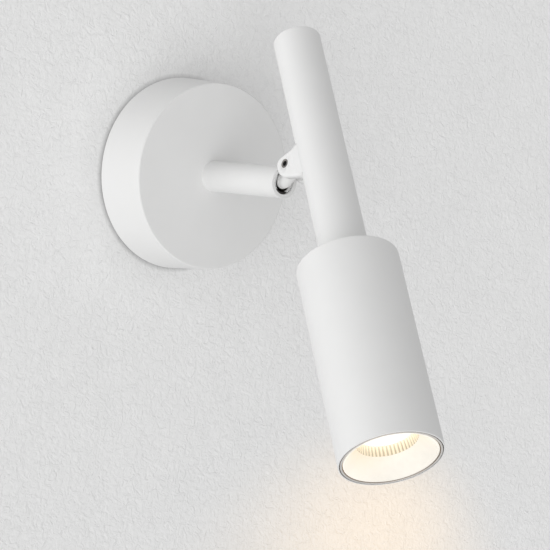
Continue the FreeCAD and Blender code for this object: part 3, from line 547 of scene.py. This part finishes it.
@dataclass(frozen=True)
class Moulded(Finish):
    """Moulded plastic or rubber with a spark-eroded grain."""

    tone: Tone = (0.8, 0.8, 0.78)
    shade_share: float = 0.93
    cloud_mm: float = 9.0
    grain_mm: float = 0.35
    relief_mm: float = 0.015
    relief: float = 0.5
    roughness: Span = (0.49, 0.63)

    def sockets(self, graph: Graph) -> dict:
        """Wire the plastic.

        Args:
            graph: the material's node tree.

        Returns:
            The shader's inputs.
        """
        where = graph.place()
        grain = graph.noise(where, self.grain_mm, roughness=0.6)
        cloud = graph.noise(where, self.cloud_mm)
        return {
            "Base Color": graph.clouded(cloud, self.tone, darker(self.tone, self.shade_share)),
            **graph.satin(grain, self.roughness, self.relief_mm, self.relief),
        }


@dataclass(frozen=True)
class LitCone(Finish):
    """Smooth white cone with painted light: an emitted glow, warmer towards its throat, stands
    for the lamp's light falling on it.
    """

    tone: Tone = (0.9, 0.89, 0.86)
    haze_share: float = 0.97
    haze_mm: float = 3.0
    haze_middle: Span = (0.3, 0.7)
    satin_mm: float = 0.4
    relief_mm: float = 0.008
    relief: float = 0.3
    roughness: Span = (0.33, 0.44)
    glow_rim: Tone = (0.32, 0.28, 0.22)
    glow_middle: Tone = (0.26, 0.19, 0.10)
    glow_throat: Tone = (0.22, 0.12, 0.00)
    glow_lit_side: Tone = (0.09, 0.065, 0.03)
    middle_at: float = 0.55
    lit_side: float = 10.0
    reach: float = 17.0

    def sockets(self, graph: Graph) -> dict:
        """Wire the cone.

        Args:
            graph: the material's node tree.

        Returns:
            The shader's inputs.
        """
        where = stem_place(graph)
        across, aside, height = graph.axes(where)
        depth = graph.span(height, HEAD.level(MOUTH.cone_front) * MM,
                           HEAD.level(MOUTH.cone_back) * MM, 0, 1)
        # Painted light: the glow runs from rim to throat and is weaker on the side that the
        # studio lamps light most.
        toward = across * cos(radians(self.lit_side)) + aside * sin(radians(self.lit_side))
        lit = graph.span(toward, 0, self.reach * MM, 0, 1)
        haze = graph.noise(where, self.haze_mm)
        satin = graph.noise(where, self.satin_mm)
        glow = graph.ramp(depth, [(0.0, self.glow_rim), (self.middle_at, self.glow_middle),
                                  (1.0, self.glow_throat)])
        return {
            "Base Color": graph.clouded(haze, self.tone, darker(self.tone, self.haze_share),
                                        self.haze_middle),
            **graph.satin(satin, self.roughness, self.relief_mm, self.relief),
            "Emission Color": graph.blend(lit, glow, self.glow_lit_side),
            "Emission Strength": 1.0,
        }


@dataclass(frozen=True)
class LitRibs(Finish):
    """Collar with painted light, a glow that grows towards the lens, and painted shade that makes
    its flutes darker than its ribs.
    """

    ribs: int = 48
    tone: Tone = (0.85, 0.77, 0.60)
    flute_shade_share: float = 0.62
    flute_span: Span = (-0.3, 0.9)
    grain_mm: float = 0.5
    relief_mm: float = 0.01
    relief: float = 0.3
    roughness: Span = (0.20, 0.33)
    glow_rib: Tone = (0.19, 0.16, 0.13)
    glow_flute: Tone = (0.03, 0.02, 0.01)
    glow_back: Tone = (0.40, 0.38, 0.33)
    glow_rise: float = 2.0

    def sockets(self, graph: Graph) -> dict:
        """Wire the collar.

        Args:
            graph: the material's node tree.

        Returns:
            The shader's inputs.
        """
        where = stem_place(graph)
        across, aside, height = graph.axes(where)
        inward = graph.span(height, HEAD.level(MOUTH.cone_back) * MM,
                            HEAD.level(MOUTH.lens_front) * MM, 0, 1)
        # Painted shade in the flutes, in both the colour and the glow; the painted light grows
        # towards the lens.
        wave = graph.math("COSINE", graph.math("ARCTAN2", aside, across) * self.ribs)
        flute = graph.span(wave, *self.flute_span, 0, 1)
        grain = graph.noise(where, self.grain_mm, detail=1.0)
        glow = graph.blend(flute, self.glow_rib, self.glow_flute)
        return {
            "Base Color": graph.blend(flute, self.tone, darker(self.tone, self.flute_shade_share)),
            **graph.satin(grain, self.roughness, self.relief_mm, self.relief),
            "Emission Color": graph.blend(inward ** self.glow_rise, glow, self.glow_back),
            "Emission Strength": 1.0,
        }


@dataclass(frozen=True)
class LitPlastic(Finish):
    """Clear-edged plastic that carries the lamp's own light."""

    tone: Tone = (0.9, 0.78, 0.5)
    shade_share: float = 0.92
    cloud_mm: float = 2.2
    grain_mm: float = 0.5
    relief_mm: float = 0.01
    relief: float = 0.3
    roughness: Span = (0.17, 0.30)
    glow_bright: Tone = (1.0, 0.82, 0.45)
    glow_dim: Tone = (0.8, 0.5, 0.16)
    glow_middle: Span = (0.4, 0.62)
    strength: float = 0.6

    def sockets(self, graph: Graph) -> dict:
        """Wire the plastic.

        Args:
            graph: the material's node tree.

        Returns:
            The shader's inputs.
        """
        where = graph.place()
        cloud = graph.noise(where, self.cloud_mm)
        grain = graph.noise(where, self.grain_mm, detail=1.0)
        return {
            "Base Color": graph.clouded(cloud, self.tone, darker(self.tone, self.shade_share)),
            **graph.satin(grain, self.roughness, self.relief_mm, self.relief),
            "Emission Color": graph.clouded(cloud, self.glow_bright, self.glow_dim,
                                            self.glow_middle),
            "Emission Strength": self.strength,
        }


@dataclass(frozen=True)
class Plaster(Finish):
    """Pale wall with a leathery relief, a painted soft shade at the canopy's lower left and a
    painted thin contact shadow where the canopy touches it."""

    tone: Tone = (0.968, 0.968, 0.966)
    patch_share: float = 0.968
    cloud_mm: float = 60.0
    patch_mm: float = 16.0
    crease_mm: float = 3.9
    crease_distortion: float = 1.4
    relief_mm: float = 1.1
    relief: float = 0.8
    shade_start: float = 0.97
    shade_mm: float = 26.0
    shade_fall: float = 2.2
    shade_toward: tuple[float, float] = (-0.86, -0.5)
    shade_span: Span = (-0.2, 0.7)
    shade_depth: float = 0.17
    contact_shade_mm: float = 2.6
    contact_shade_depth: float = 0.3
    black: Tone = (0.0, 0.0, 0.0)
    roughness: float = 0.8
    specular: float = 0.2

    def sockets(self, graph: Graph) -> dict:
        """Wire the wall.

        Args:
            graph: the material's node tree.

        Returns:
            The shader's inputs.
        """
        where = graph.place()
        crease = graph.noise(where, self.crease_mm, 3.0, 0.55, self.crease_distortion)
        cloud = graph.noise(where, self.cloud_mm, detail=3.0) * 0.5 \
            + graph.noise(where, self.patch_mm, detail=3.0) * 0.5
        plain = graph.clouded(cloud, self.tone, darker(self.tone, self.patch_share))
        across, _, height = graph.axes(where)
        reach = graph.radius(across, height)
        toward = across * self.shade_toward[0] + height * self.shade_toward[1]
        edge = CANOPY_RADIUS * MM
        start, end = (share * edge for share in self.shade_span)
        # Painted shade round the canopy, deepest at its lower left, and a painted contact shadow
        # in a thin ring at its edge.
        near = graph.span(reach, edge * self.shade_start, edge + self.shade_mm * MM, 1, 0)
        side = graph.span(toward, start, end, 0, self.shade_depth)
        contact_shade = graph.span(reach, edge, edge + self.contact_shade_mm * MM, self.contact_shade_depth, 0)
        dark = near ** self.shade_fall * side + contact_shade
        return {
            "Base Color": graph.blend(dark, plain, self.black),
            "Roughness": self.roughness,
            "Specular IOR Level": self.specular,
            "Normal": graph.bump(crease, self.relief_mm, self.relief),
        }


@dataclass(frozen=True)
class PaleFloor(Finish):
    """Even, pale floor with faint clouds."""

    tone: Tone = (0.88, 0.88, 0.88)
    shade_share: float = 0.98
    cloud_mm: float = 90.0
    roughness: float = 0.8
    lift: float = 0.28

    def sockets(self, graph: Graph) -> dict:
        """Wire the floor.

        Args:
            graph: the material's node tree.

        Returns:
            The shader's inputs.
        """
        cloud = graph.noise(graph.place(), self.cloud_mm)
        return {
            "Base Color": graph.clouded(cloud, self.tone, darker(self.tone, self.shade_share)),
            "Roughness": self.roughness,
            "Emission Color": (*self.tone, 1.0),
            "Emission Strength": self.lift,
        }


class Paint(Enum):
    """Every finish on the light, by the record's material slot."""

    WHITE_COAT = ("white_coat", PowderCoat())
    SPINDLE_COAT = ("white_coat", PocketCoat())
    ZINC_STEEL = ("zinc_steel", PlatedSteel())
    DARK_STEEL = ("dark_steel", SocketSteel())
    BRASS = ("brass", TurnedMetal(tone=(0.72, 0.52, 0.25)))
    DRIVER_CASE = ("driver_case", Moulded(tone=(0.72, 0.72, 0.70), roughness=(0.54, 0.68)))
    TERMINAL_PLASTIC = ("terminal_plastic", Moulded(
        tone=(0.78, 0.78, 0.72), roughness=(0.36, 0.50)))
    BLACK_RUBBER = ("black_rubber", Moulded(tone=(0.03, 0.03, 0.03), roughness=(0.69, 0.83)))
    WASHER_PLASTIC = ("washer_plastic", Moulded(tone=(0.7, 0.7, 0.66), roughness=(0.44, 0.58)))
    BEZEL_METAL = ("bezel_metal", RingMetal(tone=(0.84, 0.82, 0.79), roughness=(0.28, 0.46)))
    BAFFLE_WHITE = ("baffle_white", LitCone())
    COLLAR_PLASTIC = ("collar_plastic", LitRibs())
    LENS_DIFFUSER = ("lens_diffuser", LitPlastic(
        tone=(0.95, 0.93, 0.88), roughness=(0.25, 0.38), glow_bright=(1.0, 0.98, 0.90),
        glow_dim=(1.0, 0.96, 0.84), strength=0.45))
    BOARD_WHITE = ("board_white", Moulded(tone=(0.84, 0.84, 0.82), roughness=(0.39, 0.53)))
    EMITTER_YELLOW = ("emitter_yellow", LitPlastic(tone=(0.9, 0.72, 0.2), strength=2.0))
    BARE_ALUMINIUM = ("bare_aluminium", TurnedMetal(
        tone=(0.68, 0.69, 0.70), axis=Axis.STEM, roughness=(0.34, 0.52)))

    @property
    def slot(self) -> str:
        """Give the record's slot."""
        return self.value[0]

    def material(self) -> bpy.types.Material:
        """Give the finish's material, made once."""
        title = "finish_" + self.name.lower()
        return bpy.data.materials.get(title) or surface(title, self.value[1])


# ---------------------------------------------------------------- mesh helpers

WIDE_STEPS = 192
STEM_STEPS = 128
SLIM_STEPS = 96
ROUNDING_STEPS = 5
SHARP_FROM = 32.0
SPIN_WELD = 1e-7
COPY_WELD = 1e-6


def add_object(name: str, data: bpy.types.ID) -> bpy.types.Object:
    """Make an object and link it to the scene.

    Args:
        name: its name.
        data: its mesh, lamp or camera data.

    Returns:
        The object.
    """
    made = bpy.data.objects.new(name, data)
    bpy.context.scene.collection.objects.link(made)
    return made


@dataclass(frozen=True)
class Corner:
    """One corner of a turned profile, in millimetres, with its rounding."""

    radius: float
    height: float
    rounding: float = 0.0


@dataclass
class Piece:
    """A new piece in the making."""

    name: str
    mesh: bmesh.types.BMesh = field(default_factory=bmesh.new)

    def turn_profile(self, corners: list[Corner], steps: int, closed: bool = True) -> None:
        """Draw a profile, round its corners and spin it about Z.

        Args:
            corners: the profile's corners in order.
            steps: facets round the axis.
            closed: whether the last corner joins the first.
        """
        work = self.mesh
        points = [work.verts.new((c.radius * MM, 0, c.height * MM)) for c in corners]
        following = points[1:] + points[:1] if closed else points[1:]
        for pair in zip(points, following):
            work.edges.new(pair)
        for point, corner in zip(points, corners):
            if corner.rounding > 0:
                bmesh.ops.bevel(work, geom=[point], offset=corner.rounding * MM,
                                segments=ROUNDING_STEPS, profile=0.5, affect="VERTICES",
                                material=-1)
        bmesh.ops.spin(work, geom=work.verts[:] + work.edges[:], cent=(0, 0, 0), axis=(0, 0, 1),
                       angle=2 * pi, steps=steps, use_merge=True, use_normal_flip=False)
        bmesh.ops.remove_doubles(work, verts=work.verts[:], dist=SPIN_WELD)

    def finish(self, place: Matrix, body: str, paint: Paint, *nodes: str) -> None:
        """Turn the mesh into an object in its place.

        Args:
            place: where the mesh goes.
            body: the CAD body it rides on.
            paint: its finish.
            nodes: the CAD nodes it stands for.
        """
        bmesh.ops.recalc_face_normals(self.mesh, faces=self.mesh.faces[:])
        bmesh.ops.transform(self.mesh, matrix=place, verts=self.mesh.verts[:])
        data = bpy.data.meshes.new(self.name)
        self.mesh.to_mesh(data)
        self.mesh.free()
        for polygon in data.polygons:
            polygon.use_smooth = True
        data.set_sharp_from_angle(angle=radians(SHARP_FROM))
        data.materials.append(paint.material())
        piece = add_object(self.name, data)
        weigh = piece.modifiers.new("Even normals", "WEIGHTED_NORMAL")
        weigh.keep_sharp = True
        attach(piece, body)
        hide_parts(*nodes)
        LOG.info("%s rides on %s, finish %s", self.name, body, paint.slot)


def adopt(node: str, name: str, paint: Paint, body: str) -> None:
    """Stand a smooth, merged copy in for a CAD node whose shape is right.

    Args:
        node: the CAD node.
        name: the new piece's name.
        paint: its finish.
        body: the CAD body it rides on.
    """
    piece = Piece(name)
    piece.mesh.from_mesh(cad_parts[node].data)
    bmesh.ops.remove_doubles(piece.mesh, verts=piece.mesh.verts[:], dist=COPY_WELD)
    piece.finish(Matrix.Identity(4), body, paint, node)


def dress(paints: dict[str, Paint]) -> None:
    """Give CAD nodes their finishes.

    Args:
        paints: the finish of each node, by its name.
    """
    for node, paint in paints.items():
        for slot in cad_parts[node].material_slots:
            slot.material = paint.material()
        LOG.info("%s stays, finish %s", node, paint.slot)


# ---------------------------------------------------------------- sub-assemblies

@dataclass
class CanopyCover:
    """Drafted round cover on the wall, and what it covers."""

    back_radius: float = CANOPY_RADIUS
    front_radius: float = 48.15
    depth: float = 30.0
    wall: float = 2.0
    face: float = 2.5
    edge: float = 0.8
    rim_edge: float = 0.25
    hole_radius: float = 5.05

    def build(self) -> None:
        """Make the cover and dress what is inside it."""
        inner_back = self.back_radius - self.wall
        draft = (self.back_radius - self.front_radius) / self.depth
        inner_depth = self.depth - self.face
        cover = Piece("canopy_cover")
        cover.turn_profile([
            Corner(self.hole_radius, self.depth),
            Corner(self.front_radius, self.depth, self.edge),
            Corner(self.back_radius, 0.0, self.rim_edge),
            Corner(inner_back, 0.0, self.rim_edge),
            Corner(inner_back - draft * inner_depth, inner_depth, self.edge),
            Corner(self.hole_radius, inner_depth),
        ], WIDE_STEPS)
        cover.finish(TO_ROOM, "base", Paint.WHITE_COAT, "canopy")
        dress({
            "wall_strap": Paint.ZINC_STEEL, "earth_washer": Paint.BRASS,
            "earth_screw": Paint.BRASS, "canopy_screw_top": Paint.ZINC_STEEL,
            "canopy_screw_bottom": Paint.ZINC_STEEL, "led_driver": Paint.DRIVER_CASE,
            "terminal_block": Paint.TERMINAL_PLASTIC, "nipple": Paint.ZINC_STEEL,
            "nipple_washer": Paint.ZINC_STEEL, "nipple_nut": Paint.ZINC_STEEL,
            "cable_grommet": Paint.BLACK_RUBBER,
        })


@dataclass
class Arm:
    """Short round arm with an open bore at its end."""

    root: float = 30.0
    end: float = 87.1
    radius: float = 8.0
    bore: float = 6.0
    root_bore: float = 5.05
    root_length: float = 12.0
    edge: float = 0.3

    def build(self) -> None:
        """Make the tube and dress its bush."""
        tube = Piece("arm_tube")
        tube.turn_profile([
            Corner(self.root_bore, self.root), Corner(self.radius, self.root),
            Corner(self.radius, self.end, self.edge), Corner(self.bore, self.end, self.edge),
            Corner(self.bore, self.root + self.root_length),
            Corner(self.root_bore, self.root + self.root_length),
        ], SLIM_STEPS)
        tube.finish(TO_ROOM, "base", Paint.WHITE_COAT, "arm")
        dress({"arm_bush": Paint.BRASS})


@dataclass
class Knuckle:
    """Spindle, yoke and pivot screw, which keep the sizes of their CAD nodes."""

    def build(self) -> None:
        """Make the knuckle's pieces."""
        adopt("spindle", "swivel_spindle", Paint.SPINDLE_COAT, "swivel")
        adopt("yoke", "stem_yoke", Paint.WHITE_COAT, "head")
        adopt("pivot_screw", "socket_screw", Paint.DARK_STEEL, "head")
        dress({
            "friction_washer": Paint.WASHER_PLASTIC, "spindle_clip": Paint.ZINC_STEEL,
            "pivot_washer_left": Paint.WASHER_PLASTIC, "pivot_washer_right": Paint.WASHER_PLASTIC,
            "yoke_screw_left": Paint.ZINC_STEEL, "yoke_screw_right": Paint.ZINC_STEEL,
        })


@dataclass
class Stem:
    """Slim closed tube with its cap and foot."""

    radius: float = 12.0
    bore: float = 10.5
    top: float = 67.7
    edge: float = 0.3
    cap: float = 4.0
    cap_gap: float = 0.05

    def build(self) -> None:
        """Make the tube and the cap, and dress the foot."""
        tube = Piece("stem_body")
        tube.turn_profile([
            Corner(self.bore, -HEAD.head_drop), Corner(self.radius, -HEAD.head_drop),
            Corner(self.radius, self.top, self.edge), Corner(self.bore, self.top),
        ], STEM_STEPS)
        tube.finish(HEAD.on_stem(), "head", Paint.WHITE_COAT, "stem_tube")
        lid_radius = self.bore - self.cap_gap
        lid = Piece("stem_lid")
        lid.turn_profile([
            Corner(0, self.top - self.cap), Corner(lid_radius, self.top - self.cap),
            Corner(lid_radius, self.top), Corner(0, self.top),
        ], STEM_STEPS, closed=False)
        lid.finish(HEAD.on_stem(), "head", Paint.WHITE_COAT, "stem_cap")
        dress({
            "stem_foot": Paint.BARE_ALUMINIUM, "foot_washer": Paint.ZINC_STEEL,
            "foot_nut": Paint.ZINC_STEEL,
        })


@dataclass
class Head:
    """Housing, bezel, cone, ribbed collar and lens."""

    radius: float = 25.0
    bore: float = 22.8
    ledge_bore: float = 21.3
    ledge_depth: float = 72.0
    top_wall: float = 4.0
    hole: float = 5.05
    lip: float = 24.4
    lip_edge: float = 0.2
    step: float = 6.0
    edge: float = 0.7
    bezel_depth: float = 5.0
    bezel_edge: float = 0.35
    cone_outer: float = 22.6
    cone_mouth: float = 22.1
    cone_throat: float = 14.6
    cone_wall: float = 1.3
    cone_edge: float = 0.12
    flange: float = 1.0
    flange_radius: float = 24.2
    lens_radius: float = 15.4
    lens_back: float = 15.8
    lens_edge: float = 0.1

    def build(self) -> None:
        """Make the housing and the optics, and dress the light source."""
        self._housing()
        self._bezel()
        self._cone()
        self._lens()
        adopt("ribbed_collar", "reflector_collar", Paint.COLLAR_PLASTIC, "head")
        dress({
            "mixing_ring": Paint.BAFFLE_WHITE, "led_board": Paint.BOARD_WHITE,
            "led_emitter": Paint.EMITTER_YELLOW, "led_screw_left": Paint.ZINC_STEEL,
            "led_screw_right": Paint.ZINC_STEEL, "heat_sink": Paint.BARE_ALUMINIUM,
        })

    def _housing(self) -> None:
        """Make the cylinder with its shoulder and its stepped bore."""
        top = -HEAD.head_drop
        shell = Piece("head_shell")
        shell.turn_profile([
            Corner(self.lip, HEAD.level(0)), Corner(self.radius, HEAD.level(0), self.lip_edge),
            Corner(self.radius, top, self.edge), Corner(self.hole, top),
            Corner(self.hole, top - self.top_wall), Corner(self.ledge_bore, top - self.top_wall),
            Corner(self.ledge_bore, HEAD.level(self.ledge_depth)),
            Corner(self.bore, HEAD.level(self.ledge_depth)),
            Corner(self.bore, HEAD.level(self.step)), Corner(self.lip, HEAD.level(self.step)),
        ], WIDE_STEPS)
        shell.finish(HEAD.on_stem(), "head", Paint.WHITE_COAT, "housing")

    def _bezel(self) -> None:
        """Make the thin ring in the mouth."""
        ring = Piece("mouth_bezel")
        ring.turn_profile([
            Corner(MOUTH.bezel_inner, HEAD.level(0), self.bezel_edge),
            Corner(MOUTH.bezel_outer, HEAD.level(0), self.bezel_edge),
            Corner(MOUTH.bezel_outer, HEAD.level(self.bezel_depth)),
            Corner(MOUTH.bezel_inner, HEAD.level(self.bezel_depth)),
        ], WIDE_STEPS)
        ring.finish(HEAD.on_stem(), "head", Paint.BEZEL_METAL, "bezel_ring")

    def _cone(self) -> None:
        """Make the cone with its clamping flange."""
        slope = (self.cone_mouth - self.cone_throat) / (MOUTH.cone_back - MOUTH.cone_front)
        flange_back = self.bezel_depth + self.flange

        def inside(depth: float) -> float:
            """Give the cone's inside radius at a depth."""
            return self.cone_mouth - slope * (depth - MOUTH.cone_front)

        rim = self.cone_outer - self.cone_mouth
        rim_back = MOUTH.cone_front + (self.cone_wall - rim) / slope
        cone = Piece("mouth_cone")
        cone.turn_profile([
            Corner(self.cone_mouth, HEAD.level(MOUTH.cone_front), self.cone_edge),
            Corner(self.cone_outer, HEAD.level(MOUTH.cone_front), self.cone_edge),
            Corner(self.cone_outer, HEAD.level(rim_back)),
            Corner(inside(self.bezel_depth) + self.cone_wall, HEAD.level(self.bezel_depth)),
            Corner(self.flange_radius, HEAD.level(self.bezel_depth)),
            Corner(self.flange_radius, HEAD.level(flange_back)),
            Corner(inside(flange_back) + self.cone_wall, HEAD.level(flange_back)),
            Corner(self.cone_throat + self.cone_wall, HEAD.level(MOUTH.cone_back)),
            Corner(self.cone_throat, HEAD.level(MOUTH.cone_back), self.cone_edge),
        ], WIDE_STEPS)
        cone.finish(HEAD.on_stem(), "head", Paint.BAFFLE_WHITE, "baffle_cone")

    def _lens(self) -> None:
        """Make the diffusing disc."""
        disc = Piece("lens_disc")
        disc.turn_profile([
            Corner(0, HEAD.level(MOUTH.lens_front)),
            Corner(self.lens_radius, HEAD.level(MOUTH.lens_front), self.lens_edge),
            Corner(self.lens_radius, HEAD.level(self.lens_back), self.lens_edge),
            Corner(0, HEAD.level(self.lens_back)),
        ], SLIM_STEPS, closed=False)
        disc.finish(HEAD.on_stem(), "head", Paint.LENS_DIFFUSER, "lens")


# ---------------------------------------------------------------- camera, lamps and stage

@dataclass(frozen=True)
class PhotoCamera:
    """The photograph's viewpoint, measured from the canopy's centre."""

    azimuth: float = -39.288
    elevation: float = -5.255
    roll: float = 14.1
    focal_px: float = 2500.0
    frame_px: float = 550.0
    aside_mm: float = 50.284
    above_mm: float = -53.529
    distance_mm: float = 1312.853
    sensor_mm: float = 36.0
    nearest: float = 0.01

    def build(self) -> None:
        """Make the camera."""
        turn, lift, tilt = radians(self.azimuth), radians(self.elevation), radians(self.roll)
        back = Vector((sin(turn) * cos(lift), -cos(turn) * cos(lift), sin(lift)))
        level = (-back).cross(Vector((0, 0, 1))).normalized()
        upright = level.cross(-back)
        right = cos(tilt) * level + sin(tilt) * upright
        up = cos(tilt) * upright - sin(tilt) * level
        data = bpy.data.cameras.new("photo_camera")
        data.sensor_width = self.sensor_mm
        data.lens = self.focal_px * self.sensor_mm / self.frame_px
        data.clip_start = self.nearest
        camera = add_object("photo_camera", data)
        spot = (back * self.distance_mm + right * self.aside_mm + up * self.above_mm) * MM
        turned = Matrix((right, up, back)).transposed()
        camera.matrix_world = Matrix.Translation(spot) @ turned.to_4x4()
        bpy.context.scene.camera = camera


def add_lamp(name: str, kind: str, place: Vector, toward: Vector,
             **settings: object) -> bpy.types.Object:
    """Add a lamp.

    Args:
        name: its name.
        kind: the type of lamp.
        place: where it stands.
        toward: the direction it shines in.
        settings: properties of its data.

    Returns:
        The lamp.
    """
    data = bpy.data.lights.new(name, kind)
    for setting, value in settings.items():
        setattr(data, setting, value)
    lamp = add_object(name, data)
    aim = toward.to_track_quat("-Z", "Y")
    lamp.matrix_world = Matrix.Translation(place) @ aim.to_matrix().to_4x4()
    return lamp


@dataclass(frozen=True)
class Studio:
    """Three wide, soft lights, one more on the stem's and head's flank, even surroundings,
    and a pale wall and floor."""

    key_from: Place = (-0.55, -0.55, -0.60)
    key_spread: float = 70.0
    key_power: float = 0.84
    fill_from: Place = (-0.57, -0.64, -0.52)
    fill_spread: float = 165.0
    fill_power: float = 0.68
    flank_from: Place = (-1.0, 0.65, 0.0)
    flank_spread: float = 60.0
    flank_power: float = 0.74
    rim_power: float = 0.14
    rim_pieces: tuple[str, ...] = ("stem_body", "stem_lid", "head_shell", "stem_yoke")
    world_level: float = 0.455
    glossy_share: float = 0.35
    wall_back: float = 0.0004
    wall_reach: float = 3.0
    floor_drop: float = 0.75

    def build(self) -> None:
        """Make the lights and the stage."""
        self._sun("key_softbox", self.key_from, self.key_spread, self.key_power)
        self._sun("fill_softbox", self.fill_from, self.fill_spread, self.fill_power)
        self._sun("flank_softbox", self.flank_from, self.flank_spread, self.flank_power)
        self._world()
        self._wall()
        self._floor()

    def rim(self) -> None:
        """Light the stem's and head's flank alone, once they are there."""
        lamp = self._sun("rim_softbox", self.flank_from, self.flank_spread, self.rim_power)
        lit = bpy.data.collections.new("rim_lit")
        for name in self.rim_pieces:
            lit.objects.link(bpy.data.objects[name])
        lamp.light_linking.receiver_collection = lit

    def _sun(self, name: str, source: Place, spread: float, power: float) -> bpy.types.Object:
        """Make a wide, soft light that comes from a direction."""
        place = Vector(source)
        return add_lamp(name, "SUN", place, -place, energy=power, angle=radians(spread))

    def _world(self) -> None:
        """Light evenly from all round and show white to the camera."""
        world = bpy.data.worlds.new("studio_surroundings")
        bpy.context.scene.world = world
        world.use_nodes = True
        graph = Graph(world.node_tree)
        camera_ray = graph.node("ShaderNodeLightPath", output="Is Camera Ray")
        outputs = camera_ray.socket.node.outputs
        seen = camera_ray + Wire(graph, outputs["Is Glossy Ray"]) * self.glossy_share
        seen = seen + Wire(graph, outputs["Is Transmission Ray"])
        light = graph.node("ShaderNodeBackground", None, {
            "Color": (1.0, 1.0, 1.0, 1.0),
            "Strength": graph.span(seen, 0, 1, self.world_level, 1.0)})
        graph.node("ShaderNodeOutputWorld", None, {"Surface": light})

    def _plane(self, name: str, side: float, place: Matrix,
               material: bpy.types.Material) -> None:
        """Add a flat stage piece.

        Args:
            name: its name.
            side: half its side.
            place: where it goes.
            material: its material.
        """
        work = bmesh.new()
        bmesh.ops.create_grid(work, x_segments=1, y_segments=1, size=side, matrix=place)
        data = bpy.data.meshes.new(name)
        work.to_mesh(data)
        work.free()
        data.materials.append(material)
        plane = add_object(name, data)
        plane.visible_diffuse = False
        plane.visible_glossy = False
        plane.visible_transmission = False
        plane.visible_shadow = False

    def _wall(self) -> None:
        """Make a wall that shows only from the room's side and blocks no light."""
        upright = Matrix.Translation((0, self.wall_back, self.wall_reach - self.floor_drop)) \
            @ TO_ROOM
        self._plane("wall", self.wall_reach, upright,
                    surface("wall_plaster", Plaster(), clear_back=True))

    def _floor(self) -> None:
        """Make the floor."""
        flat = Matrix.Translation((0, 0, -self.floor_drop))
        self._plane("floor", 2 * self.wall_reach, flat, surface("floor_pale", PaleFloor()))


@dataclass(frozen=True)
class HeadLamp:
    """The light's own beam and the warm glow on the wall to one side of it."""

    beam_power: float = 1.0
    beam_angle: float = 80.0
    beam_gap_mm: float = 2.0
    beam_tone: Tone = (1.0, 0.86, 0.68)
    spill_power: float = 0.265
    spill_angle: float = 88.0
    spill_start: Place = (0.204, -0.137, -0.113)
    spill_target: Place = (0.198, 0.0, -0.202)
    spill_tone: Tone = (1.0, 0.58, 0.12)
    source_radius: float = 0.01

    def build(self) -> None:
        """Make the beam, which rides on the head, and the glow, which stays."""
        mouth = HEAD.on_stem() @ Vector((0, 0, HEAD.level(-self.beam_gap_mm) * MM))
        beam = self._spot("beam", mouth, HEAD.down(), energy=self.beam_power,
                          spot_size=radians(self.beam_angle), color=self.beam_tone)
        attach(beam, "head")
        start = Vector(self.spill_start)
        self._spot("spill", start, Vector(self.spill_target) - start, energy=self.spill_power,
                   spot_size=radians(self.spill_angle), color=self.spill_tone)

    def _spot(self, name: str, place: Vector, toward: Vector,
              **settings: object) -> bpy.types.Object:
        """Add a soft-edged spot that the camera doesn't see.

        Args:
            name: its name.
            place: where it stands.
            toward: the direction it shines in.
            settings: its power, cone and colour.

        Returns:
            The lamp.
        """
        lamp = add_lamp(name, "SPOT", place, toward, spot_blend=1.0,
                        shadow_soft_size=self.source_radius, **settings)
        lamp.visible_camera = False
        return lamp


def main() -> None:
    """Build the whole scene in order."""
    logging.basicConfig(level=logging.INFO, format="%(message)s")
    bpy.context.scene.view_settings.view_transform = "Standard"
    PhotoCamera().build()
    studio = Studio()
    studio.build()
    CanopyCover().build()
    Arm().build()
    Knuckle().build()
    Stem().build()
    Head().build()
    studio.rim()
    HeadLamp().build()


if __name__ == "__main__":
    main()
